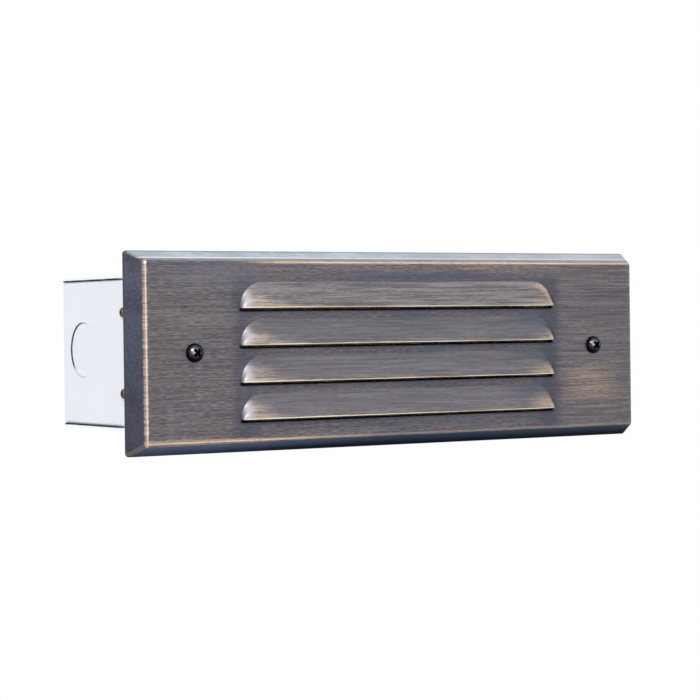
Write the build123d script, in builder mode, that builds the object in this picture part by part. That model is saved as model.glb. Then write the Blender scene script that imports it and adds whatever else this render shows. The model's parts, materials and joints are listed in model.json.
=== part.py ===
import os
from math import atan, cos, radians, sin, sqrt, tan

from build123d import *

# Recessed step light with a louvred brass faceplate over a sheet-metal wall box.
# X runs along the faceplate, Y into the wall and Z up. The origin is the centre of the
# faceplate's rear rim, which lies on the wall's face, so the plate is at negative Y and
# the box at positive Y. All sizes are in millimetres.

# ---------------------------------------------------------------- driving dimensions

# Faceplate: a pressed pan, open at the back, with sloping sides
plate_length = 243.0
plate_height = 78.4
plate_depth = 10.0
plate_sheet = 1.2
bevel_width = 4.2          # how far each side slopes in between the rim and the front
plate_corner_radius = 1.5
plate_edge_radius = 0.9

# Louvres pressed out of the faceplate, each a hood that is open below its lip
louvre_count = 4
louvre_pitch = 14.35
louvre_slot_drop = 0.75     # the cut in the sheet reaches this far below its hood's lip
louvre_end_inset = 46.0    # from the plate's end to a hood's end, before the shift below
louvre_rise = 11.2         # height of a hood above its lip
louvre_reach = 3.4         # how far a lip stands out of the face
louvre_wall = 0.9          # the stretched sheet of a hood
louvre_end_length = 10.0   # the curved end of a hood, along X
louvre_root_sink = 0.2     # how far the top of a hood's curve ends inside the sheet
louvre_fullness = 0.55     # share of the reach that is left halfway up a hood
louvre_lip_lean = 0.05     # a hood's slope at its lip, in reach for each unit of rise
louvre_top_lean = 0.2      # and where it meets the face
louvre_end_stations = (0, 25, 45, 62, 76, 86)  # angles round a hood's end, for its sections
louvre_field_rise = -4.6   # middle of the lips, measured from the plate's centre
louvre_field_shift = -0.85  # the louvres sit this far to one side of it

# Faceplate screws, held to the plate by a washer on the shank
plate_screw_inset = 25.0   # from the plate's end to a screw's axis
plate_screw_radius = 2.08
plate_screw_length = 25.4
plate_screw_head_radius = 3.8
plate_screw_head_height = 2.5
plate_screw_rim_height = 0.6
plate_screw_tip_chamfer = 0.6
plate_screw_hole_clearance = 0.22
recess_length = 4.4        # the cross recess in a screw head
recess_width = 1.0
recess_depth = 1.5
recess_turn = 38.0
captive_washer_radius = 4.6
captive_washer_sheet = 0.8
captive_travel = 7.2       # from the seated washer to the plate's back

# Lens behind the louvres
lens_end_inset = 36.5      # from the plate's end to the lens's edge
lens_thickness = 3.0
lens_edge_gap = 0.8        # between the lens's long edges and the foam gasket
lens_corner_radius = 3.0
lens_gasket_thickness = 1.5
lens_gasket_width = 2.6
clip_sheet = 0.8
clip_width = 9.0
clip_grip = 5.0            # how far a clip lies over the lens
clip_overhang = 3.0        # clip material beyond the stud
stud_radius = 1.5
stud_gap = 2.2             # from the lens's edge to a stud
stud_edge_inset = 8.5      # from the lens's long edges to a stud's axis
stud_protrusion = 0.6      # stud past its nut
nut_across_flats = 5.5
nut_thickness = 2.4

# Foam gasket inside the faceplate's rim
face_gasket_width = 2.6

# Wall box: one folded sheet makes the top, back and bottom, two trays close the ends
box_end_inset = 11.9       # how far the plate overlaps the box at each end
box_side_inset = 8.8       # how far it overlaps the box above and below
box_depth = 78.6
box_sheet = 1.2
box_bend_radius = 1.6
front_lip_depth = 5.0
end_panel_recess = 0.5     # end panels and the sheet's back sit in from its top's ends
end_panel_bend_radius = 1.4
end_flange_length = 9.0
end_panel_front_gap = 0.2
end_panel_side_gap = 0.2   # between a tray and the folded sheet above and below it

# Knockouts for half-inch conduit
knockout_radius = 11.1
knockout_shear_gap = 0.15
knockout_push = 0.4        # a slug stands this far inside its panel's face
knockout_from_back = 17.75
knockout_lift = 1.1        # an end panel's knockout is above the panel's middle
back_knockout_from_end = 31.6

# Holes in the box's back for fixing it to a wall
fixing_spacing_x = 127.0
fixing_spacing_z = 38.1
fixing_hole_radius = 2.6

# Plate brackets: angles inside the box with the tapped holes for the faceplate screws
bracket_sheet = 1.5
bracket_front_y = 9.0
bracket_leg_depth = 25.0
bracket_height = 42.0
bracket_tab_overhang = 5.6     # tab beyond the faceplate screw's axis
bracket_tab_height = 18.0
bracket_boss_radius = 3.7
bracket_boss_depth = 2.5

# Heads of the small screws: rounded, with a cross recess or a slot, as shares of the head
head_round = 0.6           # of its height
cross_length = 1.1         # of its radius, like the widths and lengths below
cross_width = 0.25
cross_depth = 0.6          # of its height, like the slot's depth
slot_width = 0.3
slot_depth = 0.5
screw_point = 0.3          # chamfer on a screw's tip, of its radius

# Small screws that hold the brackets to the end panels
side_screw_y = 24.0
side_screw_spacing = 31.75
side_screw_radius = 1.4
side_screw_length = 6.0
side_screw_head_radius = 1.95
side_screw_head_height = 1.25
side_screw_turn = 20.0     # how far the recess is turned

# Reflector: a folded trough, open to the front
reflector_end_inset = 51.5     # from the plate's end to the trough's end
reflector_mouth_height = 46.0
reflector_back_height = 28.0
reflector_front_y = 5.0
reflector_depth = 41.0
reflector_sheet = 0.8
standoff_x = 45.0
standoff_across_flats = 7.0
standoff_stem_radius = 2.5
reflector_screw_radius = 1.4
reflector_screw_length = 9.0
reflector_screw_head_radius = 2.8
reflector_screw_head_height = 1.8
reflector_screw_turn = 30.0

# Lamp sockets, one through each end wall of the reflector
lamp_y = 28.0
socket_nose_radius = 7.4
socket_nose_length = 5.0
socket_flange_radius = 10.0
socket_flange_thickness = 2.0
socket_body_radius = 8.2
socket_body_length = 14.0
socket_slot_depth = 12.0
socket_lug_reach = 1.8
socket_lug_width = 4.0
contact_thickness = 0.4
contact_width = 3.0
contact_offset_z = 2.6
contact_gap = 0.1

# Wedge-base lamps
bulb_radius = 7.5
bulb_length = 28.0
bulb_neck_radius = 4.6
bulb_neck_length = 4.0
bulb_wall = 0.8
wedge_width = 9.4
wedge_thickness = 2.1
wedge_length = 9.0
filament_post_radius = 0.25
filament_post_spacing = 4.4
filament_post_length = 14.0
filament_radius = 0.4

# Terminal block on the box's back, behind the reflector
block_length = 20.0
block_height = 18.0
block_depth = 14.0
block_pole_spacing = 9.0
block_entry_radius = 2.0
block_axis_height = 7.0    # wire axis above the box's back
insert_radius = 2.6
insert_bore_radius = 1.7
insert_length = 16.0
insert_screw_spacing = 9.0
clamp_screw_radius = 1.25
clamp_screw_head_radius = 1.9
clamp_screw_head_height = 1.6
clamp_screw_turn = 15.0
block_screw_radius = 1.4
block_screw_head_radius = 2.6
block_screw_head_height = 1.7
block_screw_turn = 60.0

# Ground screw, in a dimple that stands in from the box's back
ground_x = 26.0
ground_from_bottom = 8.65
ground_dimple_radius = 4.4
ground_dimple_height = 3.0
ground_screw_radius = 2.0
ground_head_across_flats = 7.0
ground_head_height = 3.0
ground_washer_radius = 4.6
ground_washer_height = 0.8
ground_slot_width = 0.2    # share of the head across its flats
ground_slot_depth = 0.4    # share of its height

# Socket leads
lead_radius = 1.1
lead_straight = 12.0       # run out of a socket before the first bend
lead_bulge = 3.0           # how much further out the lead swings after it
lead_side_gap = 5.0        # beside a standoff
lead_bulge_depth = 0.37    # where along its way back it is furthest out
lead_bulge_spread = 0.4    # and how far from the middle, as a share of its place by a standoff
lead_return_depth = 0.76   # where along its way back it turns behind the reflector
lead_return_spread = 0.52
lead_tuck = 9.0            # how far it is behind the socket's end by then
lead_tuck_spread = 0.8
lead_pass = 6.0            # from a standoff's axis to the bend before it
lead_leave = 15.0          # and to the bend after it
lead_sag = 1.2             # behind the terminals' level, on the way to them
lead_terminal_run = 10.0
lead_corner_share = 0.45   # of the shorter run beside a corner, that its arc takes up

# Clearances
thread_clearance = 0.05    # a screw in its tapped hole
free_clearance = 0.2       # a screw or stud in a plain hole
soft_clearance = 0.3       # a gasket beside its neighbour
seat_clearance = 0.3       # a lamp's shoulder before its socket

# ---------------------------------------------------------------- places worked out from them

louvre_length = plate_length - 2 * louvre_end_inset
lens_length = plate_length - 2 * lens_end_inset
box_length = plate_length - 2 * box_end_inset
box_height = plate_height - 2 * box_side_inset
reflector_length = plate_length - 2 * reflector_end_inset
plate_screw_x = plate_length / 2 - plate_screw_inset
face_y = -plate_depth
face_back_y = face_y + plate_sheet
side_wall = plate_sheet / cos(atan(bevel_width / plate_depth))  # measured square to Y
gasket_top_y = face_back_y + lens_gasket_thickness
lens_back_y = gasket_top_y + lens_thickness
clip_back_y = lens_back_y + clip_sheet
nut_back_y = clip_back_y + nut_thickness
stud_x = lens_length / 2 + stud_gap + stud_radius
box_back_y = box_depth - box_sheet
box_inner_height = box_height - 2 * box_sheet
panel_outer_x = box_length / 2 - end_panel_recess
panel_inner_x = panel_outer_x - box_sheet
knockout_place = (box_depth - knockout_from_back, knockout_lift)
bracket_back_y = bracket_front_y + bracket_sheet
reflector_back_y = reflector_front_y + reflector_depth
reflector_end_x = reflector_length / 2
socket_nose_x = reflector_end_x - socket_nose_length
socket_back_x = reflector_end_x + socket_flange_thickness + socket_body_length
shoulder_x = socket_nose_x - seat_clearance
block_front_y = box_back_y - block_depth
ground_z = ground_from_bottom - box_height / 2
block_axis_y = box_back_y - block_axis_height
back_knockout_x = back_knockout_from_end - box_length / 2
captive_washer_y = face_back_y + captive_travel


def facing(y):
    """Plane square to Y at depth y, looking out of the wall: extrude(-a) goes inwards."""
    return Plane.XZ.offset(-y)


def save(builder, name):
    """Label a finished piece and write its file."""
    builder.part.label = name
    export_step(builder.part, f"parts/{name}.step")


def mirrored(builder):
    """The same piece for the other end of the light."""
    with BuildPart() as twin:
        mirror(builder.part, about=Plane.YZ)
    return twin


def cross_recess(head_radius, turn):
    """Sketch of the cross recess in a small screw's head."""
    with BuildSketch() as cross:
        for angle in (turn, turn + 90):
            Rectangle(cross_length * head_radius, cross_width * head_radius, rotation=angle)
    return cross.sketch


def screw_slot(head_radius, turn):
    """Sketch of the slot right across a small screw's head."""
    with BuildSketch() as slot:
        Rectangle(2 * head_radius, slot_width * head_radius, rotation=turn)
    return slot.sketch


# ---------------------------------------------------------------- faceplate


def pan_size(y, inset=0.0):
    """Length and height of the pan's outline at depth y, moved in by inset."""
    slope_in = bevel_width * -y / plate_depth
    return plate_length - 2 * (slope_in + inset), plate_height - 2 * (slope_in + inset)


gasket_length, gasket_height = pan_size(face_back_y, side_wall + soft_clearance)
lens_height = gasket_height - 2 * (face_gasket_width + lens_edge_gap)
stud_spacing_z = lens_height - 2 * stud_edge_inset


def hood_section(x, rise, reach, root):
    """Section of a hood across X: an S curve from the lip up to the face, closed behind."""
    with BuildSketch(Plane.YZ.offset(x)) as section:
        with BuildLine():
            top = (louvre_root_sink, rise)
            Spline(
                (-reach, 0),
                (-louvre_fullness * reach, rise / 2),
                top,
                tangents=[(louvre_lip_lean, 1), (louvre_top_lean, 1)],
            )
            Polyline(top, (root, rise), (root, 0), (-reach, 0))
        make_face()
    return section.sketch


def hood(inset, root):
    """A hood with its lip at Z 0 and the face at Y 0, made smaller all round by inset."""
    rise = louvre_rise - inset
    reach = louvre_reach - inset
    straight_x = louvre_length / 2 - louvre_end_length
    end_length = louvre_end_length - inset
    turns = [radians(angle) for angle in louvre_end_stations]
    with BuildPart() as half_hood:
        extrude(hood_section(0, rise, reach, root), amount=straight_x)
        loft(
            [
                hood_section(
                    straight_x + end_length * sin(turn),
                    rise * cos(turn),
                    reach * sqrt(cos(turn)),
                    root,
                )
                for turn in turns
            ]
        )
        mirror(about=Plane.YZ)
    return half_hood.part


lip_heights = [
    louvre_field_rise + louvre_pitch * (k - (louvre_count - 1) / 2) for k in range(louvre_count)
]
hood_outside = hood(0, plate_sheet / 2)
hood_inside = hood(louvre_wall, 2 * plate_sheet)

with BuildPart() as faceplate:
    for y in (0, face_y):
        with BuildSketch(facing(y)):
            RectangleRounded(*pan_size(y), plate_corner_radius)
    loft()
    fillet(faceplate.edges().group_by(Axis.Y)[0], plate_edge_radius)
    for y in (0, face_back_y):
        with BuildSketch(facing(y)):
            RectangleRounded(*pan_size(y, side_wall), plate_corner_radius - plate_sheet)
    loft(mode=Mode.SUBTRACT)
    with Locations(*((louvre_field_shift, face_y, z) for z in lip_heights)):
        add(hood_outside)
    with Locations(*((louvre_field_shift, face_y, z) for z in lip_heights)):
        add(hood_inside, mode=Mode.SUBTRACT)
    with BuildSketch(facing(face_y)):
        with Locations(*((louvre_field_shift, z) for z in lip_heights)):
            Rectangle(louvre_length - 2 * louvre_wall, 2 * louvre_slot_drop)
        with Locations((-plate_screw_x, 0), (plate_screw_x, 0)):
            Circle(plate_screw_radius + plate_screw_hole_clearance)
    extrude(amount=-plate_sheet, mode=Mode.SUBTRACT)

# Faceplate screws and the washers that keep them on the plate

with BuildPart() as right_faceplate_screw:
    with BuildSketch(Plane.XY) as screw_half:
        with BuildLine():
            crown_y = face_y - plate_screw_head_height
            rim_y = face_y - plate_screw_rim_height
            tip_y = face_y + plate_screw_length
            shank_edge = plate_screw_x + plate_screw_radius
            head_edge = plate_screw_x + plate_screw_head_radius
            TangentArc((plate_screw_x, crown_y), (head_edge, rim_y), tangent=(1, 0))
            Polyline(
                (head_edge, rim_y),
                (head_edge, face_y),
                (shank_edge, face_y),
                (shank_edge, tip_y - plate_screw_tip_chamfer),
                (shank_edge - plate_screw_tip_chamfer, tip_y),
                (plate_screw_x, tip_y),
                (plate_screw_x, crown_y),
            )
        make_face()
    screw_axis = Axis((plate_screw_x, 0, 0), (0, 1, 0))
    revolve(axis=screw_axis)
    with BuildSketch(facing(crown_y - plate_screw_head_height)):
        with Locations((plate_screw_x, 0)):
            Rectangle(recess_length, recess_width, rotation=recess_turn)
            Rectangle(recess_length, recess_width, rotation=recess_turn + 90)
    extrude(amount=-plate_screw_head_height - recess_depth, mode=Mode.SUBTRACT)
left_faceplate_screw = mirrored(right_faceplate_screw)

with BuildPart() as right_captive_washer:
    with BuildSketch(facing(captive_washer_y)):
        with Locations((plate_screw_x, 0)):
            Circle(captive_washer_radius)
            Circle(plate_screw_radius + thread_clearance, mode=Mode.SUBTRACT)
    extrude(amount=-captive_washer_sheet)
left_captive_washer = mirrored(right_captive_washer)

# Lens, its gasket and what holds them

with BuildPart() as lens_gasket:
    with BuildSketch(facing(face_back_y)):
        RectangleRounded(lens_length, lens_height, lens_corner_radius)
        Rectangle(
            lens_length - 2 * lens_gasket_width,
            lens_height - 2 * lens_gasket_width,
            mode=Mode.SUBTRACT,
        )
    extrude(amount=-lens_gasket_thickness)

with BuildPart() as lens:
    with BuildSketch(facing(gasket_top_y)):
        RectangleRounded(lens_length, lens_height, lens_corner_radius)
    extrude(amount=-lens_thickness)

with BuildPart() as lens_studs:
    with BuildSketch(facing(face_back_y)):
        with GridLocations(2 * stud_x, stud_spacing_z, 2, 2):
            Circle(stud_radius)
    extrude(amount=face_back_y - nut_back_y - stud_protrusion)

with BuildPart() as lens_clips:
    clip_inner_x = lens_length / 2 - clip_grip
    clip_outer_x = stud_x + stud_radius + clip_overhang
    with BuildSketch(Plane.XY.offset(stud_spacing_z / 2 - clip_width / 2)):
        with BuildLine():
            Polyline(
                (clip_inner_x, lens_back_y),
                (clip_outer_x - clip_sheet, lens_back_y),
                (clip_outer_x - clip_sheet, face_back_y),
                (clip_outer_x, face_back_y),
                (clip_outer_x, clip_back_y),
                (clip_inner_x, clip_back_y),
                close=True,
            )
        make_face()
    extrude(amount=clip_width)
    with BuildSketch(facing(lens_back_y)):
        with Locations((stud_x, stud_spacing_z / 2)):
            Circle(stud_radius + free_clearance)
    extrude(amount=-clip_sheet, mode=Mode.SUBTRACT)
    mirror(about=Plane.XY)
    mirror(about=Plane.YZ)

with BuildPart() as clip_nuts:
    with BuildSketch(facing(clip_back_y)):
        with GridLocations(2 * stud_x, stud_spacing_z, 2, 2):
            RegularPolygon(nut_across_flats / 2, 6, major_radius=False)
            Circle(stud_radius + thread_clearance, mode=Mode.SUBTRACT)
    extrude(amount=-nut_thickness)

with BuildPart() as face_gasket:
    with BuildSketch(facing(face_back_y)):
        Rectangle(gasket_length, gasket_height)
        Rectangle(
            gasket_length - 2 * face_gasket_width,
            gasket_height - 2 * face_gasket_width,
            mode=Mode.SUBTRACT,
        )
    extrude(amount=face_back_y)

# ---------------------------------------------------------------- wall box


def back_holes(positions, radius):
    """Sketch of round holes in the box's back."""
    with BuildSketch(facing(box_back_y)) as holes:
        with Locations(*positions):
            Circle(radius)
    return holes.sketch


with BuildPart() as box_shell:
    with BuildSketch(Plane.YZ.offset(-box_length / 2)):
        with Locations((box_depth / 2, 0)):
            shell_outline = Rectangle(box_depth, box_height)
            fillet(shell_outline.vertices(), box_bend_radius)
            Rectangle(box_depth - 2 * box_sheet, box_inner_height, mode=Mode.SUBTRACT)
        with Locations((box_sheet, 0)):
            Rectangle(2 * box_sheet, box_height - 2 * front_lip_depth, mode=Mode.SUBTRACT)
    extrude(amount=box_length)
    fixing_places = [
        (x * fixing_spacing_x / 2, z * fixing_spacing_z / 2) for x in (-1, 1) for z in (-1, 1)
    ]
    extrude(back_holes(fixing_places, fixing_hole_radius), amount=-box_sheet, mode=Mode.SUBTRACT)
    standoff_places = [(-standoff_x, 0), (standoff_x, 0)]
    standoff_hole = standoff_stem_radius + thread_clearance
    extrude(back_holes(standoff_places, standoff_hole), amount=-box_sheet, mode=Mode.SUBTRACT)
    ground_place = [(ground_x, ground_z)]
    extrude(back_holes(ground_place, ground_dimple_radius), amount=ground_dimple_height)
    ground_hole = back_holes(ground_place, ground_screw_radius + thread_clearance)
    extrude(ground_hole, amount=ground_dimple_height, mode=Mode.SUBTRACT)
    extrude(ground_hole, amount=-box_sheet, mode=Mode.SUBTRACT)
    block_hole = block_screw_radius + thread_clearance
    extrude(back_holes([(0, 0)], block_hole), amount=-box_sheet, mode=Mode.SUBTRACT)
    back_knockout = back_holes([(back_knockout_x, 0)], knockout_radius)
    extrude(back_knockout, amount=-box_sheet, mode=Mode.SUBTRACT)
    with BuildSketch(facing(box_back_y)):
        with Locations(*((x * (panel_outer_x + end_panel_recess / 2), 0) for x in (-1, 1))):
            Rectangle(end_panel_recess, box_height)
    extrude(amount=-box_sheet, mode=Mode.SUBTRACT)

side_screw_places = [(side_screw_y, z * side_screw_spacing / 2) for z in (-1, 1)]

with BuildPart() as right_end_panel:
    panel_front_y = box_sheet + end_panel_front_gap
    panel_depth = box_back_y - panel_front_y
    with BuildSketch(Plane.YZ.offset(panel_outer_x)):
        with Locations((panel_front_y + panel_depth / 2, 0)):
            Rectangle(panel_depth, box_inner_height - 2 * end_panel_side_gap)
    extrude(amount=-end_flange_length - box_sheet)
    tray_edges = right_end_panel.faces().sort_by(Axis.X)[-1].edges()
    long_edges = tray_edges.sort_by(Axis.Y)[1:3]
    fillet(long_edges, end_panel_bend_radius)
    tray_faces = right_end_panel.faces()
    open_faces = [tray_faces.sort_by(Axis.X)[0], tray_faces.sort_by(Axis.Y)[0]]
    offset(amount=-box_sheet, openings=open_faces)
    with BuildSketch(Plane.YZ.offset(panel_outer_x)):
        with Locations(knockout_place):
            Circle(knockout_radius)
        with Locations(*side_screw_places):
            Circle(side_screw_radius + free_clearance)
    extrude(amount=-box_sheet, mode=Mode.SUBTRACT)
left_end_panel = mirrored(right_end_panel)

slug_radius = knockout_radius - knockout_shear_gap

with BuildPart() as left_knockout_slug:
    with BuildSketch(Plane.YZ.offset(-panel_outer_x + knockout_push)):
        with Locations(knockout_place):
            Circle(slug_radius)
    extrude(amount=box_sheet)

with BuildPart() as back_knockout_slug:
    with BuildSketch(facing(box_back_y - knockout_push)):
        with Locations((back_knockout_x, 0)):
            Circle(slug_radius)
    extrude(amount=-box_sheet)

# Plate brackets and the screws that hold them

with BuildPart() as right_plate_bracket:
    leg_x = panel_inner_x - bracket_sheet
    tab_x = plate_screw_x - bracket_tab_overhang
    with BuildSketch(Plane.XY.offset(-bracket_height / 2)) as angle:
        with BuildLine():
            Polyline(
                (tab_x, bracket_front_y),
                (panel_inner_x, bracket_front_y),
                (panel_inner_x, bracket_front_y + bracket_leg_depth),
                (leg_x, bracket_front_y + bracket_leg_depth),
                (leg_x, bracket_back_y),
                (tab_x, bracket_back_y),
                close=True,
            )
        make_face()
        fillet(angle.vertices().sort_by_distance((panel_inner_x, bracket_front_y))[0], bracket_sheet)
    extrude(amount=bracket_height)
    with BuildSketch(facing(bracket_front_y)):
        with Locations(((tab_x + leg_x) / 2, 0)):
            Rectangle(leg_x - tab_x, bracket_height)
            Rectangle(leg_x - tab_x, bracket_tab_height, mode=Mode.SUBTRACT)
    extrude(amount=-bracket_sheet, mode=Mode.SUBTRACT)
    with BuildSketch(facing(bracket_back_y)):
        with Locations((plate_screw_x, 0)):
            Circle(bracket_boss_radius)
    extrude(amount=-bracket_boss_depth)
    with BuildSketch(facing(bracket_front_y)):
        with Locations((plate_screw_x, 0)):
            Circle(plate_screw_radius + thread_clearance)
    extrude(amount=-bracket_sheet - bracket_boss_depth, mode=Mode.SUBTRACT)
    with BuildSketch(Plane.YZ.offset(leg_x)):
        with Locations(*side_screw_places):
            Circle(side_screw_radius + thread_clearance)
    extrude(amount=bracket_sheet, mode=Mode.SUBTRACT)
left_plate_bracket = mirrored(right_plate_bracket)

with BuildPart() as right_side_screws:
    with BuildSketch(Plane.YZ.offset(panel_outer_x)):
        with Locations(*side_screw_places):
            Circle(side_screw_head_radius)
    extrude(amount=side_screw_head_height)
    fillet(right_side_screws.edges().group_by(Axis.X)[-1], head_round * side_screw_head_height)
    with BuildSketch(Plane.YZ.offset(panel_outer_x)):
        with Locations(*side_screw_places):
            Circle(side_screw_radius)
    extrude(amount=-side_screw_length)
    chamfer(right_side_screws.edges().group_by(Axis.X)[0], screw_point * side_screw_radius)
    with BuildSketch(Plane.YZ.offset(panel_outer_x + side_screw_head_height)):
        with Locations(*side_screw_places):
            add(cross_recess(side_screw_head_radius, side_screw_turn))
    extrude(amount=-cross_depth * side_screw_head_height, mode=Mode.SUBTRACT)
left_side_screws = mirrored(right_side_screws)

# ---------------------------------------------------------------- reflector

with BuildPart() as reflector:
    with BuildSketch(Plane.YZ.offset(-reflector_end_x)):
        with BuildLine():
            Polyline(
                (reflector_front_y, -reflector_mouth_height / 2),
                (reflector_back_y, -reflector_back_height / 2),
                (reflector_back_y, reflector_back_height / 2),
                (reflector_front_y, reflector_mouth_height / 2),
                close=True,
            )
        make_face()
    extrude(amount=reflector_length)
    offset(amount=-reflector_sheet, openings=reflector.faces().sort_by(Axis.Y)[0])
    with BuildSketch(Plane.YZ.offset(-reflector_end_x)):
        with Locations((lamp_y, 0)):
            Circle(socket_nose_radius + free_clearance)
            notch_height = 2 * (socket_nose_radius + socket_lug_reach + free_clearance)
            Rectangle(socket_lug_width + 2 * free_clearance, notch_height)
    extrude(amount=reflector_length, mode=Mode.SUBTRACT)
    with BuildSketch(facing(reflector_back_y - reflector_sheet)):
        with Locations(*standoff_places):
            Circle(reflector_screw_radius + free_clearance)
    extrude(amount=-reflector_sheet, mode=Mode.SUBTRACT)

with BuildPart() as reflector_standoffs:
    with BuildSketch(facing(reflector_back_y)):
        with Locations(*standoff_places):
            RegularPolygon(standoff_across_flats / 2, 6, major_radius=False)
    extrude(amount=reflector_back_y - box_back_y)
    with BuildSketch(facing(box_back_y)):
        with Locations(*standoff_places):
            Circle(standoff_stem_radius)
    extrude(amount=-box_sheet)
    with BuildSketch(facing(reflector_back_y)):
        with Locations(*standoff_places):
            Circle(reflector_screw_radius + thread_clearance)
    extrude(amount=-reflector_screw_length - reflector_screw_radius, mode=Mode.SUBTRACT)

with BuildPart() as reflector_screws:
    seat_y = reflector_back_y - reflector_sheet
    with BuildSketch(facing(seat_y)):
        with Locations(*standoff_places):
            Circle(reflector_screw_head_radius)
    extrude(amount=reflector_screw_head_height)
    fillet(reflector_screws.edges().group_by(Axis.Y)[0], head_round * reflector_screw_head_height)
    with BuildSketch(facing(seat_y)):
        with Locations(*standoff_places):
            Circle(reflector_screw_radius)
    extrude(amount=-reflector_screw_length)
    with BuildSketch(facing(seat_y - reflector_screw_head_height)):
        with Locations(*standoff_places):
            add(cross_recess(reflector_screw_head_radius, reflector_screw_turn))
    extrude(amount=-cross_depth * reflector_screw_head_height, mode=Mode.SUBTRACT)

# ---------------------------------------------------------------- lamp sockets and lamps

contact_inner = wedge_thickness / 2 + contact_gap
contact_middle = contact_inner + contact_thickness / 2
slot_thickness = 2 * (contact_inner + contact_thickness + free_clearance)
contact_places = [(lamp_y + s * contact_middle, s * contact_offset_z) for s in (-1, 1)]

with BuildPart() as right_lamp_socket:
    with BuildSketch(Plane.YZ.offset(socket_nose_x)):
        with Locations((lamp_y, 0)):
            Circle(socket_nose_radius)
    extrude(amount=socket_nose_length)
    with BuildSketch(Plane.YZ.offset(reflector_end_x)):
        with Locations((lamp_y, 0)):
            Circle(socket_flange_radius)
    extrude(amount=socket_flange_thickness)
    with BuildSketch(Plane.YZ.offset(reflector_end_x + socket_flange_thickness)):
        with Locations((lamp_y, 0)):
            Circle(socket_body_radius)
    extrude(amount=socket_body_length)
    lug_x = reflector_end_x - reflector_sheet
    with BuildSketch(Plane.YZ.offset(lug_x)):
        with Locations((lamp_y, 0)):
            Rectangle(2 * (socket_nose_radius + socket_lug_reach), socket_lug_width)
    extrude(amount=-contact_width / 2)
    with BuildSketch(Plane.YZ.offset(socket_nose_x)):
        with Locations((lamp_y, 0)):
            Rectangle(slot_thickness, wedge_width + 2 * free_clearance)
    extrude(amount=socket_slot_depth, mode=Mode.SUBTRACT)
    with BuildSketch(Plane.YZ.offset(socket_nose_x)):
        with Locations(*contact_places):
            Rectangle(contact_thickness, contact_width)
    extrude(amount=socket_back_x - socket_nose_x, mode=Mode.SUBTRACT)
left_lamp_socket = mirrored(right_lamp_socket)

with BuildPart() as right_socket_contacts:
    with BuildSketch(Plane.YZ.offset(socket_nose_x + contact_thickness)):
        with Locations(*contact_places):
            Rectangle(contact_thickness, contact_width)
    extrude(amount=socket_back_x - socket_nose_x - contact_thickness)
left_socket_contacts = mirrored(right_socket_contacts)

lamp_axis = Axis((0, lamp_y, 0), (1, 0, 0))


def bulb_half_profile(inset):
    """Half outline of the bulb beside the lamp's axis, made smaller all round by inset."""
    neck_x = shoulder_x - inset
    side_x = shoulder_x - bulb_neck_length
    radius = bulb_radius - inset
    dome_x = shoulder_x - bulb_length + bulb_radius
    with BuildSketch(Plane.XY) as half_bulb:
        with BuildLine():
            Line((neck_x, lamp_y), (neck_x, lamp_y + bulb_neck_radius - inset))
            Line((neck_x, lamp_y + bulb_neck_radius - inset), (side_x, lamp_y + radius))
            Line((side_x, lamp_y + radius), (dome_x, lamp_y + radius))
            RadiusArc((dome_x, lamp_y + radius), (dome_x - radius, lamp_y), -radius)
            Line((dome_x - radius, lamp_y), (neck_x, lamp_y))
        make_face()
    return half_bulb.sketch


with BuildPart() as right_lamp_bulb:
    revolve(bulb_half_profile(0), axis=lamp_axis)
    with BuildSketch(Plane.YZ.offset(shoulder_x)):
        with Locations((lamp_y, 0)):
            Rectangle(wedge_thickness, wedge_width)
    extrude(amount=wedge_length)
    with BuildSketch(Plane.YZ.offset(shoulder_x)):
        with Locations((lamp_y, 0)):
            Rectangle(wedge_thickness, wedge_width)
    extrude(amount=-2 * bulb_wall)
    revolve(bulb_half_profile(bulb_wall), axis=lamp_axis, mode=Mode.SUBTRACT)
left_lamp_bulb = mirrored(right_lamp_bulb)

with BuildPart() as right_lamp_filament:
    post_root_x = shoulder_x - bulb_wall
    post_places = [(lamp_y, z * filament_post_spacing / 2) for z in (-1, 1)]
    with BuildSketch(Plane.YZ.offset(post_root_x)):
        with Locations(*post_places):
            Circle(filament_post_radius)
    extrude(amount=-filament_post_length)
    with BuildSketch(Plane.XY.offset(-filament_post_spacing / 2 - filament_radius)):
        with Locations((post_root_x - filament_post_length, lamp_y)):
            Circle(filament_radius)
    extrude(amount=filament_post_spacing + 2 * filament_radius)
left_lamp_filament = mirrored(right_lamp_filament)

# ---------------------------------------------------------------- wiring

pole_heights = [-block_pole_spacing / 2, block_pole_spacing / 2]
clamp_places = [(x * insert_screw_spacing / 2, z) for x in (-1, 1) for z in pole_heights]
insert_half_length = insert_length / 2

with BuildPart() as terminal_block:
    with BuildSketch(facing(block_front_y)):
        RectangleRounded(block_length, block_height, clamp_screw_radius)
    extrude(amount=-block_depth)
    with BuildSketch(Plane.YZ.offset(-block_length / 2)):
        with Locations(*((block_axis_y, z) for z in pole_heights)):
            Circle(block_entry_radius)
    extrude(amount=block_length, mode=Mode.SUBTRACT)
    with BuildSketch(Plane.YZ.offset(-insert_half_length)):
        with Locations(*((block_axis_y, z) for z in pole_heights)):
            Circle(insert_radius + thread_clearance)
    extrude(amount=insert_length, mode=Mode.SUBTRACT)
    with BuildSketch(facing(block_front_y)):
        with Locations(*clamp_places):
            Circle(clamp_screw_head_radius + free_clearance)
    extrude(amount=block_front_y - block_axis_y, mode=Mode.SUBTRACT)
    with BuildSketch(facing(block_front_y)):
        Circle(block_screw_radius + free_clearance)
    extrude(amount=-block_depth, mode=Mode.SUBTRACT)
    with BuildSketch(facing(block_front_y)):
        Circle(block_screw_head_radius + free_clearance)
    extrude(amount=-block_screw_head_height, mode=Mode.SUBTRACT)

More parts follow.
